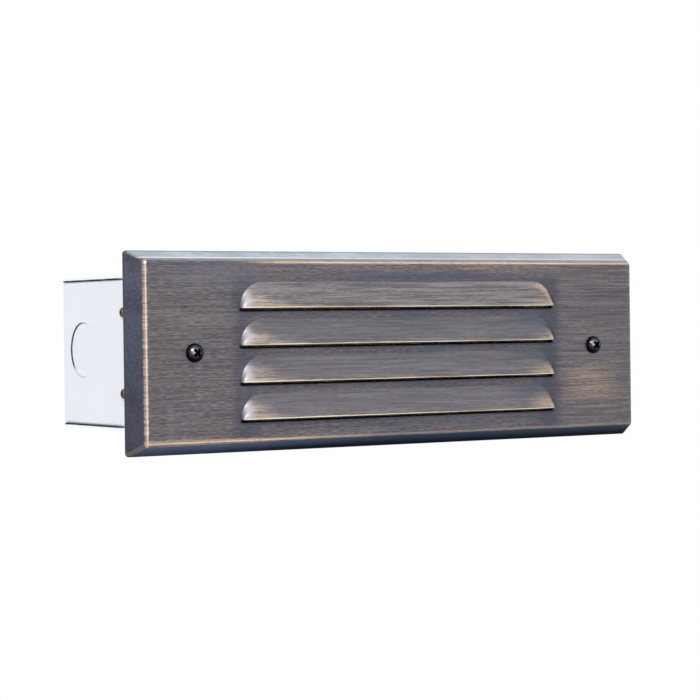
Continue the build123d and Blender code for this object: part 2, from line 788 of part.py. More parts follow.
with BuildPart() as terminal_inserts:
    with BuildSketch(Plane.YZ.offset(-insert_half_length)):
        with Locations(*((block_axis_y, z) for z in pole_heights)):
            Circle(insert_radius)
            Circle(insert_bore_radius, mode=Mode.SUBTRACT)
    extrude(amount=insert_length)
    with BuildSketch(facing(block_axis_y)):
        with Locations(*clamp_places):
            Circle(clamp_screw_radius + thread_clearance)
    extrude(amount=insert_radius, mode=Mode.SUBTRACT)

with BuildPart() as clamp_screws:
    clamp_seat_y = block_axis_y - insert_radius - clamp_screw_radius / 2
    with BuildSketch(facing(clamp_seat_y)):
        with Locations(*clamp_places):
            Circle(clamp_screw_head_radius)
    extrude(amount=clamp_screw_head_height)
    with BuildSketch(facing(clamp_seat_y)):
        with Locations(*clamp_places):
            Circle(clamp_screw_radius)
    extrude(amount=clamp_seat_y - block_axis_y)
    with BuildSketch(facing(clamp_seat_y - clamp_screw_head_height)):
        with Locations(*clamp_places):
            add(screw_slot(clamp_screw_head_radius, clamp_screw_turn))
    extrude(amount=-slot_depth * clamp_screw_head_height, mode=Mode.SUBTRACT)

with BuildPart() as block_screw:
    block_seat_y = block_front_y + block_screw_head_height
    with BuildSketch(facing(block_seat_y)):
        Circle(block_screw_head_radius)
    extrude(amount=block_screw_head_height)
    with BuildSketch(facing(block_seat_y)):
        Circle(block_screw_radius)
    extrude(amount=block_seat_y - box_depth)
    with BuildSketch(facing(block_front_y)):
        add(screw_slot(block_screw_head_radius, block_screw_turn))
    extrude(amount=-slot_depth * block_screw_head_height, mode=Mode.SUBTRACT)

with BuildPart() as ground_screw:
    ground_seat_y = box_back_y - ground_dimple_height
    with BuildSketch(facing(ground_seat_y)):
        with Locations((ground_x, ground_z)):
            Circle(ground_washer_radius)
    extrude(amount=ground_washer_height)
    with BuildSketch(facing(ground_seat_y - ground_washer_height)):
        with Locations((ground_x, ground_z)):
            RegularPolygon(ground_head_across_flats / 2, 6, major_radius=False)
    extrude(amount=ground_head_height)
    with BuildSketch(facing(ground_seat_y)):
        with Locations((ground_x, ground_z)):
            Circle(ground_screw_radius)
    extrude(amount=ground_seat_y - box_depth)
    with BuildSketch(facing(ground_seat_y - ground_washer_height - ground_head_height)):
        with Locations((ground_x, ground_z)):
            Rectangle(ground_head_across_flats, ground_slot_width * ground_head_across_flats)
    extrude(amount=-ground_slot_depth * ground_head_height, mode=Mode.SUBTRACT)


def corner_radii(points):
    """Largest arcs that two neighbouring runs of a lead allow, one for each corner."""
    radii = []
    for before, corner, after in zip(points, points[1:], points[2:]):
        arriving = Vector(*corner) - Vector(*before)
        leaving = Vector(*after) - Vector(*corner)
        half_turn = radians(arriving.get_angle(leaving) / 2)
        radii.append(lead_corner_share * min(arriving.length, leaving.length) / tan(half_turn))
    return radii


def socket_lead(side):
    """One lead from a contact's end, round behind the reflector, to its terminal."""
    contact_y = lamp_y + side * contact_middle
    contact_z = side * contact_offset_z
    bend_x = socket_back_x + lead_straight
    back_run = block_axis_y - lamp_y
    beside_standoff_z = standoff_across_flats / 2 + lead_radius + lead_side_gap
    pole_z = block_pole_spacing / 2
    points = [
        (socket_back_x, contact_y, contact_z),
        (bend_x, contact_y, contact_z),
        (
            bend_x + lead_bulge,
            lamp_y + lead_bulge_depth * back_run,
            side * lead_bulge_spread * beside_standoff_z,
        ),
        (
            bend_x - lead_bulge,
            lamp_y + lead_return_depth * back_run,
            side * lead_return_spread * beside_standoff_z,
        ),
        (
            socket_back_x - lead_tuck,
            block_axis_y - lead_sag,
            side * lead_tuck_spread * beside_standoff_z,
        ),
        (standoff_x + lead_pass, block_axis_y + lead_sag, side * beside_standoff_z),
        (
            standoff_x - lead_leave,
            block_axis_y + lead_sag / 2,
            side * lead_tuck_spread * beside_standoff_z,
        ),
        (insert_half_length + lead_terminal_run, block_axis_y, side * pole_z),
        (insert_half_length, block_axis_y, side * pole_z),
    ]
    with BuildPart() as lead:
        with BuildLine() as route:
            FilletPolyline(*points, radius=corner_radii(points))
        with BuildSketch(Plane(origin=route.line @ 0, z_dir=route.line % 0)):
            Circle(lead_radius)
        sweep()
    return lead.part


with BuildPart() as right_socket_leads:
    for side in (-1, 1):
        add(socket_lead(side))
left_socket_leads = mirrored(right_socket_leads)

# ---------------------------------------------------------------- files

pieces = {
    "faceplate": faceplate,
    "left_faceplate_screw": left_faceplate_screw,
    "right_faceplate_screw": right_faceplate_screw,
    "left_captive_washer": left_captive_washer,
    "right_captive_washer": right_captive_washer,
    "lens": lens,
    "lens_gasket": lens_gasket,
    "lens_studs": lens_studs,
    "lens_clips": lens_clips,
    "clip_nuts": clip_nuts,
    "face_gasket": face_gasket,
    "box_shell": box_shell,
    "left_end_panel": left_end_panel,
    "right_end_panel": right_end_panel,
    "left_knockout_slug": left_knockout_slug,
    "back_knockout_slug": back_knockout_slug,
    "left_plate_bracket": left_plate_bracket,
    "right_plate_bracket": right_plate_bracket,
    "left_side_screws": left_side_screws,
    "right_side_screws": right_side_screws,
    "reflector": reflector,
    "reflector_standoffs": reflector_standoffs,
    "reflector_screws": reflector_screws,
    "left_lamp_socket": left_lamp_socket,
    "right_lamp_socket": right_lamp_socket,
    "left_socket_contacts": left_socket_contacts,
    "right_socket_contacts": right_socket_contacts,
    "left_lamp_bulb": left_lamp_bulb,
    "right_lamp_bulb": right_lamp_bulb,
    "left_lamp_filament": left_lamp_filament,
    "right_lamp_filament": right_lamp_filament,
    "terminal_block": terminal_block,
    "terminal_inserts": terminal_inserts,
    "clamp_screws": clamp_screws,
    "block_screw": block_screw,
    "ground_screw": ground_screw,
    "left_socket_leads": left_socket_leads,
    "right_socket_leads": right_socket_leads,
}

os.makedirs("parts", exist_ok=True)
for name, piece in pieces.items():
    save(piece, name)
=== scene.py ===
"""Looks of the louvred step light: its finishes, the fine pieces that stand for plain solids,
and a plain studio with the photograph's camera.

The frame is the CAD's: X runs along the faceplate, Y into the wall and Z up. Sizes are written
in millimetres, and turned into metres where Blender takes them.
"""

import json
import math

import bpy
from mathutils import Matrix, Vector


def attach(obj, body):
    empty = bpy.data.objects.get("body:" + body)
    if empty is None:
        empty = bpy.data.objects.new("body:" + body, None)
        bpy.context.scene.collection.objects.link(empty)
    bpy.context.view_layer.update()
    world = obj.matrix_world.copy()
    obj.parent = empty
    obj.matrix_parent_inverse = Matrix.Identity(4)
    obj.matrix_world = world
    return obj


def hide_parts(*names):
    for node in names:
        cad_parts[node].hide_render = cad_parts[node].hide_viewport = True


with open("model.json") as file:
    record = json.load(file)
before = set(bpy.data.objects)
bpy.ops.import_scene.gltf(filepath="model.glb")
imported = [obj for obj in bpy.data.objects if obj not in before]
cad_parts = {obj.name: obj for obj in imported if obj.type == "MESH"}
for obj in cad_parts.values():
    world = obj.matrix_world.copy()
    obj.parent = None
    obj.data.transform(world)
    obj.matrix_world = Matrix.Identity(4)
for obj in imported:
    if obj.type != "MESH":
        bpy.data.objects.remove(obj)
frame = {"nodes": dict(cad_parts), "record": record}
nodes = frame["nodes"]
scene = bpy.context.scene
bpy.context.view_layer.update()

MM = 0.001

# ---------------------------------------------------------------- sizes shared with the solids, mm

FACE_Y = -10.0
FACE_HALF_X = 117.3
FACE_HALF_Z = 35.0
LOWEST_LIP_Z = -26.125
LIP_PITCH = 14.35
TOP_LIP_Z = LOWEST_LIP_Z + 3 * LIP_PITCH
HOOD_HALF_X = 75.5
HOOD_SHIFT_X = -0.85
HOOD_END_LENGTH = 10.0
HOOD_RISE = 10.6            # where its curve leaves the face
SLOT_DROP = 0.75
SCREW_X = 96.5
SEAM_Z = 29.1               # beside the end panels
SHEET_EDGE_Z = 29.2         # where the folded sheet's edge begins, beyond the seam
KNOCKOUT_Y = 60.85
KNOCKOUT_Z = 1.1
KNOCKOUT_RADIUS = 11.0

# ---------------------------------------------------------------- camera

IMAGE_WIDTH = 700           # pixels
SENSOR_WIDTH = 36           # mm
CLIP_RANGE = (0.05, 50)     # m


def place_camera(focal_px, azimuth, elevation, roll, distance, aim):
    """Camera that looks at aim from azimuth and elevation, in degrees, at a distance."""
    azimuth, elevation, roll = (math.radians(a) for a in (azimuth, elevation, roll))
    back = Vector(
        (
            math.sin(azimuth) * math.cos(elevation),
            -math.cos(azimuth) * math.cos(elevation),
            math.sin(elevation),
        )
    )
    right = (-back).cross(Vector((0, 0, 1))).normalized()
    up = right.cross(-back)
    turned_right = right * math.cos(roll) + up * math.sin(roll)
    turned_up = up * math.cos(roll) - right * math.sin(roll)
    data = bpy.data.cameras.new("camera")
    data.sensor_width = SENSOR_WIDTH
    data.lens = focal_px / IMAGE_WIDTH * SENSOR_WIDTH
    data.clip_start, data.clip_end = CLIP_RANGE
    camera = bpy.data.objects.new("camera", data)
    scene.collection.objects.link(camera)
    matrix = Matrix((turned_right, turned_up, back)).transposed().to_4x4()
    matrix.translation = (Vector(aim) + back * distance) * MM
    camera.matrix_world = matrix
    scene.camera = camera


place_camera(
    focal_px=2243.765,
    azimuth=-32.497,
    elevation=0.658,
    roll=-0.764,
    distance=902.995,
    aim=(-19.963, 0, -0.255),
)
scene.view_settings.view_transform = "Standard"

# ---------------------------------------------------------------- node graphs


def rgb(text):
    """Linear colour of an sRGB hex triple, with alpha."""
    channels = [int(text[i : i + 2], 16) / 255 for i in (0, 2, 4)]
    linear = [c / 12.92 if c <= 0.04045 else ((c + 0.055) / 1.055) ** 2.4 for c in channels]
    return (*linear, 1.0)


class Graph:
    """A material's or a world's node tree, with short calls for the nodes used here.

    Values are sockets or plain numbers, and colours may also be sRGB hex triples.
    """

    def __init__(self, owner):
        owner.use_nodes = True
        self.tree = owner.node_tree
        self.tree.nodes.clear()

    def put(self, socket, value):
        """Links a value to an input, or sets the input's own value."""
        if isinstance(value, bpy.types.NodeSocket):
            self.tree.links.new(value, socket)
        else:
            socket.default_value = rgb(value) if isinstance(value, str) else value

    def node(self, kind, inputs, **settings):
        made = self.tree.nodes.new(kind)
        for key, value in settings.items():
            setattr(made, key, value)
        for key, value in inputs.items():
            self.put(made.inputs[key], value)
        return made

    # Arithmetic

    def math(self, operation, *values):
        return self.node("ShaderNodeMath", dict(enumerate(values)), operation=operation).outputs[0]

    def add(self, first, *others):
        for other in others:
            first = self.math("ADD", first, other)
        return first

    def times(self, first, *others):
        for other in others:
            first = self.math("MULTIPLY", first, other)
        return first

    def minus(self, a, b):
        return self.math("SUBTRACT", a, b)

    def over(self, a, b):
        return self.math("DIVIDE", a, b)

    def larger(self, a, b):
        return self.math("MAXIMUM", a, b)

    def absolute(self, value):
        return self.math("ABSOLUTE", value)

    def apart(self, a, b):
        """Distance between two values."""
        return self.absolute(self.minus(a, b))

    def square(self, a, b):
        return self.add(self.times(a, a), self.times(b, b))

    def length(self, a, b):
        return self.math("SQRT", self.square(a, b))

    def opposite(self, share):
        return self.minus(1.0, share)

    def span(self, share, low, high):
        """From low where the share is 0 to high where it is 1."""
        return self.add(low, self.times(share, high - low))

    def step(self, value, none, full):
        """0 at none and 1 at full, smooth between them and constant past them."""
        rising = none < full
        made = self.node(
            "ShaderNodeMapRange",
            {
                "Value": value,
                "From Min": min(none, full),
                "From Max": max(none, full),
                "To Min": 0.0 if rising else 1.0,
                "To Max": 1.0 if rising else 0.0,
            },
            interpolation_type="SMOOTHSTEP",
        )
        return made.outputs["Result"]

    # Places and patterns

    def position(self):
        """Object position in mm."""
        coordinate = self.node("ShaderNodeTexCoord", {}).outputs["Object"]
        scaled = self.node("ShaderNodeVectorMath", {0: coordinate, 3: 1 / MM}, operation="SCALE")
        return scaled.outputs[0]

    def axes(self, vector):
        return self.node("ShaderNodeSeparateXYZ", {0: vector}).outputs[:3]

    def blob(self, x, z, centre, reach):
        """Soft oval patch: 1 in the middle, 0 at reach from it."""
        across = self.over(self.minus(x, centre[0]), reach[0])
        upward = self.over(self.minus(z, centre[1]), reach[1])
        return self.step(self.length(across, upward), 1.0, 0.15)

    def noise(self, vector, grain, detail=3.0, roughness=0.55, offset=(0, 0, 0)):
        """Noise from 0 to 1 whose grains measure grain = (x, y, z) mm."""
        mapped = self.node(
            "ShaderNodeMapping",
            {"Vector": vector, "Location": offset, "Scale": tuple(1 / g for g in grain)},
        )
        made = self.node(
            "ShaderNodeTexNoise",
            {
                "Vector": mapped.outputs[0],
                "Scale": 1.0,
                "Detail": detail,
                "Roughness": roughness,
            },
        )
        return made.outputs["Fac"]

    # Colours and surfaces

    def mix(self, share, a, b):
        return self.node("ShaderNodeMix", {0: share, 6: a, 7: b}, data_type="RGBA").outputs[2]

    def ramp(self, value, stops):
        """Colour ramp through (place, colour) stops."""
        made = self.node("ShaderNodeValToRGB", {"Fac": value})
        elements = made.color_ramp.elements
        while len(elements) < len(stops):
            elements.new(0.5)
        for element, (place, colour) in zip(elements, stops):
            element.position = place
            element.color = rgb(colour)
        return made.outputs["Color"]

    def bump(self, height, depth):
        """Bump whose height of 0 to 1 stands for depth in mm."""
        inputs = {"Height": height, "Distance": depth * MM, "Strength": 1.0}
        return self.node("ShaderNodeBump", inputs).outputs[0]

    def surface(self, inputs):
        shader = self.node("ShaderNodeBsdfPrincipled", inputs)
        self.node("ShaderNodeOutputMaterial", {"Surface": shader.outputs[0]})


materials = {}


def material(name, kind=Graph):
    """Starts a material and gives its graph."""
    made = bpy.data.materials.new(name)
    materials[name] = made
    return kind(made)


# ---------------------------------------------------------------- faceplate's aged brass


class AgedBrass(Graph):
    """The faceplate's finish, painted in layers over its brushed tone, among them painted
    highlights, reflections and shade.

    A layer is a colour and a share, which is 1 where the colour covers what is below it. Shares
    are products of steps along the axes and along the places that find_hoods and find_bevels
    work out.
    """

    def __init__(self, owner):
        super().__init__(owner)
        self.place = self.position()
        self.x, self.y, self.z = self.axes(self.place)
        normal = self.node("ShaderNodeTexCoord", {}).outputs["Normal"]
        self.face_x, self.face_y, _ = self.axes(normal)
        self.rightward = self.step(self.x, -50.0, 40.0)
        self.leftward = self.step(self.x, -30.0, -80.0)
        self.find_hoods()
        self.find_bevels()

    def paint_layers(self):
        self.brush()
        self.patina_and_shade_round_louvres()
        self.rubbed_patches()
        self.hood_fronts()
        self.left_hood_ends()
        self.right_hood_ends()
        self.lips_and_slots()
        self.bevels()
        self.bevel_edges()
        self.rubbed_and_lit_border()
        self.unbrushed_inside()
        self.finish()

    def paint(self, share, colour):
        self.colour = self.mix(share, self.colour, colour)

    def end_step(self, none, full):
        """Step along the hoods, between two distances past their ends."""
        return self.step(self.hood_x, HOOD_HALF_X + none, HOOD_HALF_X + full)

    def find_hoods(self):
        """Which hood a point belongs to, and where it lies on or beside that hood."""
        over_lips = self.add(self.z, 10 * LIP_PITCH - LOWEST_LIP_Z)
        self.above = self.math("MODULO", over_lips, LIP_PITCH)      # over the next lip below
        self.hood_x = self.apart(self.x, HOOD_SHIFT_X)
        past_end = self.larger(self.add(self.hood_x, HOOD_END_LENGTH - HOOD_HALF_X), 0.0)
        risen = self.over(self.above, HOOD_RISE)
        # 1 where a hood's curve meets the face, and less inside it
        self.outline = self.length(self.over(past_end, HOOD_END_LENGTH), risen)
        self.on_hood = self.step(self.y, FACE_Y - 0.01, FACE_Y - 0.16)
        self.off_hood = self.opposite(self.on_hood)
        # From a little below the lowest hood to a little above the top one
        self.rows = self.times(self.step(self.z, -36.0, -31.0), self.step(self.z, 31.0, 26.0))
        self.along_hood = self.end_step(0.6, -2.0)
        self.along_lip = self.end_step(1.2, -0.6)
        self.top_hood = self.step(self.z, TOP_LIP_Z - 0.6, TOP_LIP_Z - 0.2)
        self.lower_hoods = self.times(self.on_hood, self.opposite(self.top_hood))

    def find_bevels(self):
        """How far a point lies past the flat face, and on which bevel."""
        self.past_x = self.minus(self.absolute(self.x), FACE_HALF_X)
        self.past_z = self.minus(self.absolute(self.z), FACE_HALF_Z)
        self.upper_half = self.step(self.z, -1.0, 1.0)
        self.lower_half = self.opposite(self.upper_half)
        # The tone changes a little above each bevel's foot, as it does in the photograph
        self.edge_z = self.add(self.past_z, self.span(self.upper_half, 0.45, -0.60))
        self.bevel = self.step(self.larger(self.past_x, self.edge_z), 0.1, 0.7)
        level = self.step(self.minus(self.past_z, self.past_x), -0.15, 0.15)
        self.top_bevel = self.times(level, self.upper_half)
        self.low_bevel = self.times(level, self.lower_half)
        self.mottle = self.noise(self.place, (5.0, 0.9, 0.9), 3.0, 0.7, (1.7, 2.2, 8.8))

    def brush(self):
        """Lines brushed along X that wander a little, broken by soft bands of patina."""
        wander = self.noise(self.place, (36.0, 20.0, 10.0), 1.0, 0.5, (6.0, 2.0, 8.0))
        drift = self.node("ShaderNodeCombineXYZ", {2: self.times(self.add(wander, -0.5), 1.2)})
        moved = self.node(
            "ShaderNodeVectorMath", {0: self.place, 1: drift.outputs[0]}, operation="ADD"
        ).outputs[0]
        self.hair = self.noise(moved, (18.0, 3.0, 0.37), 1.0, 0.5)
        self.fine = self.noise(moved, (3.2, 2.0, 0.32), 1.0, 0.5, (2.0, 5.0, 1.0))
        self.streak = self.noise(moved, (38.0, 6.0, 0.9), 1.5, 0.6, (7.3, 1.1, 2.9))
        warmth = self.noise(moved, (13.0, 8.0, 0.7), 1.5, 0.6, (5.2, 6.4, 0.7))
        band = self.noise(self.place, (50.0, 12.0, 4.5), 2.0, 0.5, (3.1, 8.2, 5.5))
        self.cloud = self.noise(self.place, (24.0, 24.0, 12.0), 2.0, 0.5, (11.7, 4.0, 9.1))

        # The lines are long on the hoods and at the face's right end, and short elsewhere
        right_face = self.times(self.step(self.x, 58.0, 84.0), self.off_hood)
        long_share = self.add(
            0.20, self.times(self.on_hood, 0.24), self.times(right_face, 0.12)
        )
        short_share = self.add(
            0.32, self.times(self.off_hood, 0.36), self.times(right_face, -0.30)
        )
        tone = 0.5
        for lines, share in (
            (self.hair, 0.46),
            (self.streak, long_share),
            (self.fine, short_share),
            (band, 0.14),
        ):
            tone = self.add(tone, self.times(self.add(lines, -0.5), share))
        self.broken = self.step(tone, 0.45, 0.56)       # 1 on the paler lines
        self.colour = self.ramp(
            tone, [(0.36, "4d4b54"), (0.46, "605d64"), (0.54, "716c71"), (0.64, "8a8483")]
        )
        warm = self.times(self.step(warmth, 0.42, 0.58), self.span(self.broken, 0.70, 1.0))
        self.paint(self.times(warm, 0.32), "7f6e68")
        self.paint(self.times(self.step(warmth, 0.50, 0.36), 0.18), "66707c")

    def patina_and_shade_round_louvres(self):
        """Bluer and darker round the louvres: a patina field, patina and painted shade at their
        ends and over the top one, and painted shade under the lips.
        """
        face_rows = self.times(self.rows, self.off_hood)
        blue = self.times(
            self.end_step(9.0, -1.0),
            face_rows,
            self.span(self.cloud, 0.10, 0.55),
            self.span(self.rightward, 0.35, 1.0),
        )
        self.paint(blue, "475066")
        # Halos at the hood ends and a darker patch right of them: patina and painted shade
        halo = self.times(self.end_step(5.5, 0.5), self.end_step(-9.0, -4.0), face_rows)
        self.paint(self.times(halo, 0.42), "3d4456")
        dusk = self.times(self.step(self.x, 57.0, 69.0), self.end_step(5.0, 0.0), face_rows)
        self.paint(self.times(dusk, 0.24), "46464a")
        # Band over the top hood: patina and painted shade
        over_top = self.blob(self.x, self.z, centre=(12.0, 28.9), reach=(90.0, 4.6))
        self.paint(self.times(over_top, 0.42), "4a526c")
        # Painted shade under each lip
        under_lip_shade = self.times(
            self.step(self.above, LIP_PITCH - 2.6, LIP_PITCH - 1.0),
            self.step(self.z, TOP_LIP_Z + 1.0, TOP_LIP_Z),
            self.along_hood,
            self.off_hood,
        )
        self.paint(self.times(under_lip_shade, 0.55), "333948")

    def rubbed_patches(self):
        """Tan patches where the brushing went through, broken up by the lines, and a cool one."""
        for centre, reach, strength in (
            ((95.5, -16.0), (22.0, 14.5), 0.85),
            ((-98.0, -31.0), (24.0, 7.0), 0.10),
            ((-99.0, 12.0), (16.0, 12.0), 0.14),
            ((45.0, 32.6), (95.0, 2.8), 0.45),
        ):
            patch = self.blob(self.x, self.z, centre, reach)
            self.paint(self.times(patch, self.span(self.broken, 0.25, 1.0), strength), "a69383")
        cooler = self.blob(self.x, self.z, centre=(-88.0, 30.0), reach=(34.0, 9.0))
        self.paint(self.times(cooler, 0.30), "727889")

    def hood_fronts(self):
        """The top hood paler, the others greyer with painted shade at their upper right ends, all
        of them worn towards the lip, and a painted highlight along the crease where each leaves
        the face.
        """
        paler = self.times(self.top_hood, self.on_hood, self.span(self.broken, 0.12, 0.34))
        self.paint(paler, "b5acab")
        self.paint(self.times(self.lower_hoods, 0.26), "828590")
        # Painted shade on the lower hoods' upper right ends
        shaded = self.times(
            self.lower_hoods,
            self.step(self.outline, 0.40, 0.85),
            self.step(self.x, 44.0, 64.0),
            self.step(self.above, 2.5, 6.5),
        )
        self.paint(self.times(shaded, 0.70), "52566a")
        low = self.times(self.step(self.above, 3.0, 0.2), self.on_hood, self.along_hood)
        self.paint(self.times(low, self.span(self.broken, 0.04, 0.30)), "a89a8c")
        # Painted highlight along the crease where each hood leaves the face
        crest_highlight = self.times(
            self.step(self.apart(self.outline, 0.86), 0.10, 0.0),
            self.on_hood,
            self.step(self.x, 0.0, 60.0),
            self.span(self.top_hood, 0.03, 0.32),
        )
        self.paint(crest_highlight, "b3a197")

    def left_hood_ends(self):
        """Bare worn metal with a painted reflection where an end curves away, worn tan beside it,
        and a painted highlight on its steep side, which faces left.
        """
        slanted = self.add(self.x, self.times(self.streak, 8.0), self.times(self.above, 1.3))
        tan = self.times(
            self.step(self.x, -75.7, -71.4),
            self.step(slanted, -50.0, -63.0),
            self.step(self.above, 9.0, 2.5),
        )
        by_lip = self.times(self.step(self.x, -50.0, -68.0), self.step(self.above, 2.8, 0.6))
        tan = self.times(self.larger(tan, by_lip), self.on_hood)
        self.paint(self.times(tan, self.span(self.broken, 0.22, 0.82)), "d0bba9")
        # Bare worn metal under a painted reflection
        silver_sheen = self.blob(self.x, self.above, centre=(-75.4, 1.8), reach=(5.6, 8.0))
        self.paint(self.times(silver_sheen, self.on_hood, self.span(self.fine, 0.35, 1.30)), "c4c0c2")
        # Painted highlight on the end walls that face left
        side = self.times(self.step(self.face_x, -0.15, -0.50), self.step(self.above, 8.5, 4.0))
        self.paint(self.times(side, self.on_hood, 0.7), "a9a8ae")

    def right_hood_ends(self):
        """Worn by the lip, most on the lowest hood, with a painted highlight along each end's
        curved edge and a painted shadow on the face beside its foot.
        """
        lowness = self.step(self.z, 0.0, -20.0)
        reach = (16.0, self.span(lowness, 4.5, 8.0))
        worn = self.blob(self.x, self.above, (72.5, 0.8), reach)
        share = self.add(0.15, self.times(self.broken, 0.30), self.times(lowness, 0.35))
        self.paint(self.times(worn, self.on_hood, share), "d3b797")
        # Painted highlight along the curved edge of each end
        upward = self.minus(self.above, self.times(self.top_hood, 5.2))
        edge = self.times(
            self.step(self.outline, 0.58, 0.86),
            self.step(self.x, 62.0, 67.0),
            self.step(upward, 5.8, 0.5),
            self.on_hood,
        )
        self.paint(self.times(edge, self.span(self.broken, 0.60, 0.95)), "dcc2a8")
        # Painted shadow on the face beside each end's foot
        root_shadow = self.times(
            self.step(self.apart(self.outline, 1.08), 0.11, 0.03),
            self.step(self.x, 64.0, 68.0),
            self.step(self.above, 6.5, 1.5),
            self.off_hood,
            self.rows,
        )
        self.paint(self.times(root_shadow, 0.60), "2a3040")

    def lips_and_slots(self):
        """Bright uneven lips, worn and with a painted highlight, and painted shade, near black,
        round the slot under each of them.
        """
        uneven = self.noise(self.place, (5.0, 5.0, 5.0), 2.0, 0.5, (0.0, 9.0, 3.0))
        height = self.times(uneven, self.span(self.rightward, 0.50, 0.15))
        # Each lip's edge: worn brass with a painted highlight
        lip = self.times(
            self.step(self.minus(self.above, height), 0.26, 0.10),
            self.step(self.y, -11.4, -12.6),
            self.along_lip,
        )
        self.paint(lip, self.mix(self.step(self.streak, 0.40, 0.55), "d9bd98", "fbebcf"))
        # Painted shade round the slot under each lip
        foot = LIP_PITCH - SLOT_DROP
        self.slot = self.times(
            self.step(self.above, foot - 0.95, foot - 0.35),
            self.step(self.z, TOP_LIP_Z + 0.6, TOP_LIP_Z),
            self.off_hood,
            self.along_lip,
        )
        self.paint(self.slot, "050608")

    def bevels(self):
        """Slate bevels, the side ones darker towards the bottom: the top one lightened to pale
        grey, a painted reflection, the bottom one in painted shade, bluer at its left and near
        black towards the back, and the rim dark.
        """
        blotch = self.add(self.times(self.mottle, 0.6), self.times(self.cloud, 0.4))
        blotch = self.step(blotch, 0.36, 0.64)
        slate = self.mix(blotch, "1c202c", "3f4352")
        slate = self.mix(self.times(self.step(self.z, 20.0, -30.0), 0.40), slate, "191c2a")
        # Painted reflection: the top bevel lightened to pale grey
        top_sheen = self.mix(blotch, "818a92", "aab2b9")
        top_sheen = self.mix(self.times(self.rightward, 0.40), top_sheen, "868b8e")
        slate = self.mix(self.top_bevel, slate, top_sheen)
        # Painted shade: the bottom bevel dark, bluer at its left and near black towards the back
        low = self.mix(self.step(self.x, -110.0, 10.0), "7a879f", "4c5666")
        low = self.mix(self.times(blotch, 0.22), low, "1c2333")
        underside_shade = self.mix(self.step(self.x, -120.0, -40.0), "4d5970", "010205")
        low = self.mix(self.step(self.y, -9.4, -1.2), low, underside_shade)
        slate = self.mix(self.low_bevel, slate, low)
        slate = self.mix(self.times(self.step(self.y, -1.5, -0.7), 0.6), slate, "2c303b")
        self.paint(self.bevel, slate)

    def bevel_edges(self):
        """A painted highlight and a line of painted shade along the top bevel's foot, and worn
        hips.
        """
        fillet_highlight = self.step(self.apart(self.edge_z, 0.80), 0.34, 0.08)
        fillet_highlight = self.times(fillet_highlight, self.top_bevel, self.span(self.leftward, 0.60, 1.0))
        self.paint(fillet_highlight, "cdd1d6")
        # Painted shade along the foot, darkest at the left
        dark = self.times(
            self.step(self.apart(self.edge_z, 0.12), 0.38, 0.12),
            self.step(self.past_x, 0.2, -0.4),
            self.upper_half,
            self.span(self.leftward, 0.72, 0.90),
        )
        self.paint(dark, "565a61")
        from_hip = self.apart(self.past_x, self.past_z)
        from_hip = self.minus(from_hip, self.times(self.lower_half, 0.7))
        hip = self.times(
            self.step(from_hip, 1.1, 0.1),
            self.bevel,
            self.span(self.mottle, 0.25, 1.0),
            self.span(self.lower_half, 0.50, 0.90),
        )
        self.paint(hip, "94816f")

    def rubbed_and_lit_border(self):
        """Where the face turns into the bevels: a ragged tan fringe of worn brass round a bright
        core, which is worn brass with a painted highlight.
        """
        forward = self.step(self.y, -8.2, -9.5)
        inside_x = self.step(self.past_x, 0.9, 0.1)
        inside_z = self.step(self.past_z, 0.9, 0.1)

        # Along the two sides, and brightest on the left one, where the core's painted highlight is
        # lit from the left
        left = self.step(self.x, 0.0, -10.0)
        ragged = self.noise(self.place, (20.0, 20.0, 0.60), 3.0, 0.70, (4.0, 4.0, 4.0))
        ragged = self.step(ragged, 0.28, 0.72)
        outer = self.step(self.minus(self.past_x, self.times(ragged, 0.9)), 0.15, -0.35)
        inner = self.step(self.add(self.past_x, self.times(ragged, 0.9)), -0.9, 0.0)
        fringe_x = self.times(outer, inner, inside_z, self.span(left, 0.25, 0.80))
        near_x = self.minus(self.apart(self.past_x, -0.42), self.times(ragged, 0.20))
        core_x = self.times(self.step(near_x, 0.34, 0.0), inside_z, left)
        core_x = self.times(core_x, self.span(ragged, 0.70, 0.95))

        # Along the top but for its left end, and along the bottom, widest at its left corner
        top = self.times(self.step(self.x, -78.0, -52.0), self.span(self.broken, 0.62, 1.0))
        low = self.times(self.step(self.x, 0.0, -75.0), self.span(self.broken, 0.50, 0.95))
        edge = self.add(
            self.times(self.upper_half, top), self.times(self.lower_half, self.add(0.12, low))
        )
        edge = self.times(edge, inside_x)
        corner = self.times(self.step(self.x, -50.0, -112.0), self.lower_half)
        frayed = self.noise(self.place, (9.0, 9.0, 20.0), 3.0, 0.65)
        frayed = self.times(frayed, self.span(corner, 0.9, 2.4))
        near_z = self.apart(self.edge_z, self.span(self.upper_half, -0.40, -1.02))
        fringe_z = self.times(self.step(self.minus(near_z, frayed), 0.42, -0.10), edge)
        core_z = self.times(self.step(near_z, 0.45, 0.05), edge, 0.75)

        self.paint(self.times(self.larger(fringe_x, fringe_z), forward), "bb9f8c")
        # The core: worn brass and a painted highlight
        self.paint(self.times(self.larger(core_x, core_z), forward), "fdebd2")

    def unbrushed_inside(self):
        """The plate's back, dark, and the hoods' insides, near black as painted shade."""
        self.unbrushed = self.step(self.face_y, 0.05, 0.25)
        bare = self.mix(self.step(self.y, -9.2, -10.2), "2b2830", "0d0c0f")
        self.paint(self.times(self.unbrushed, 0.92), bare)

    def finish(self):
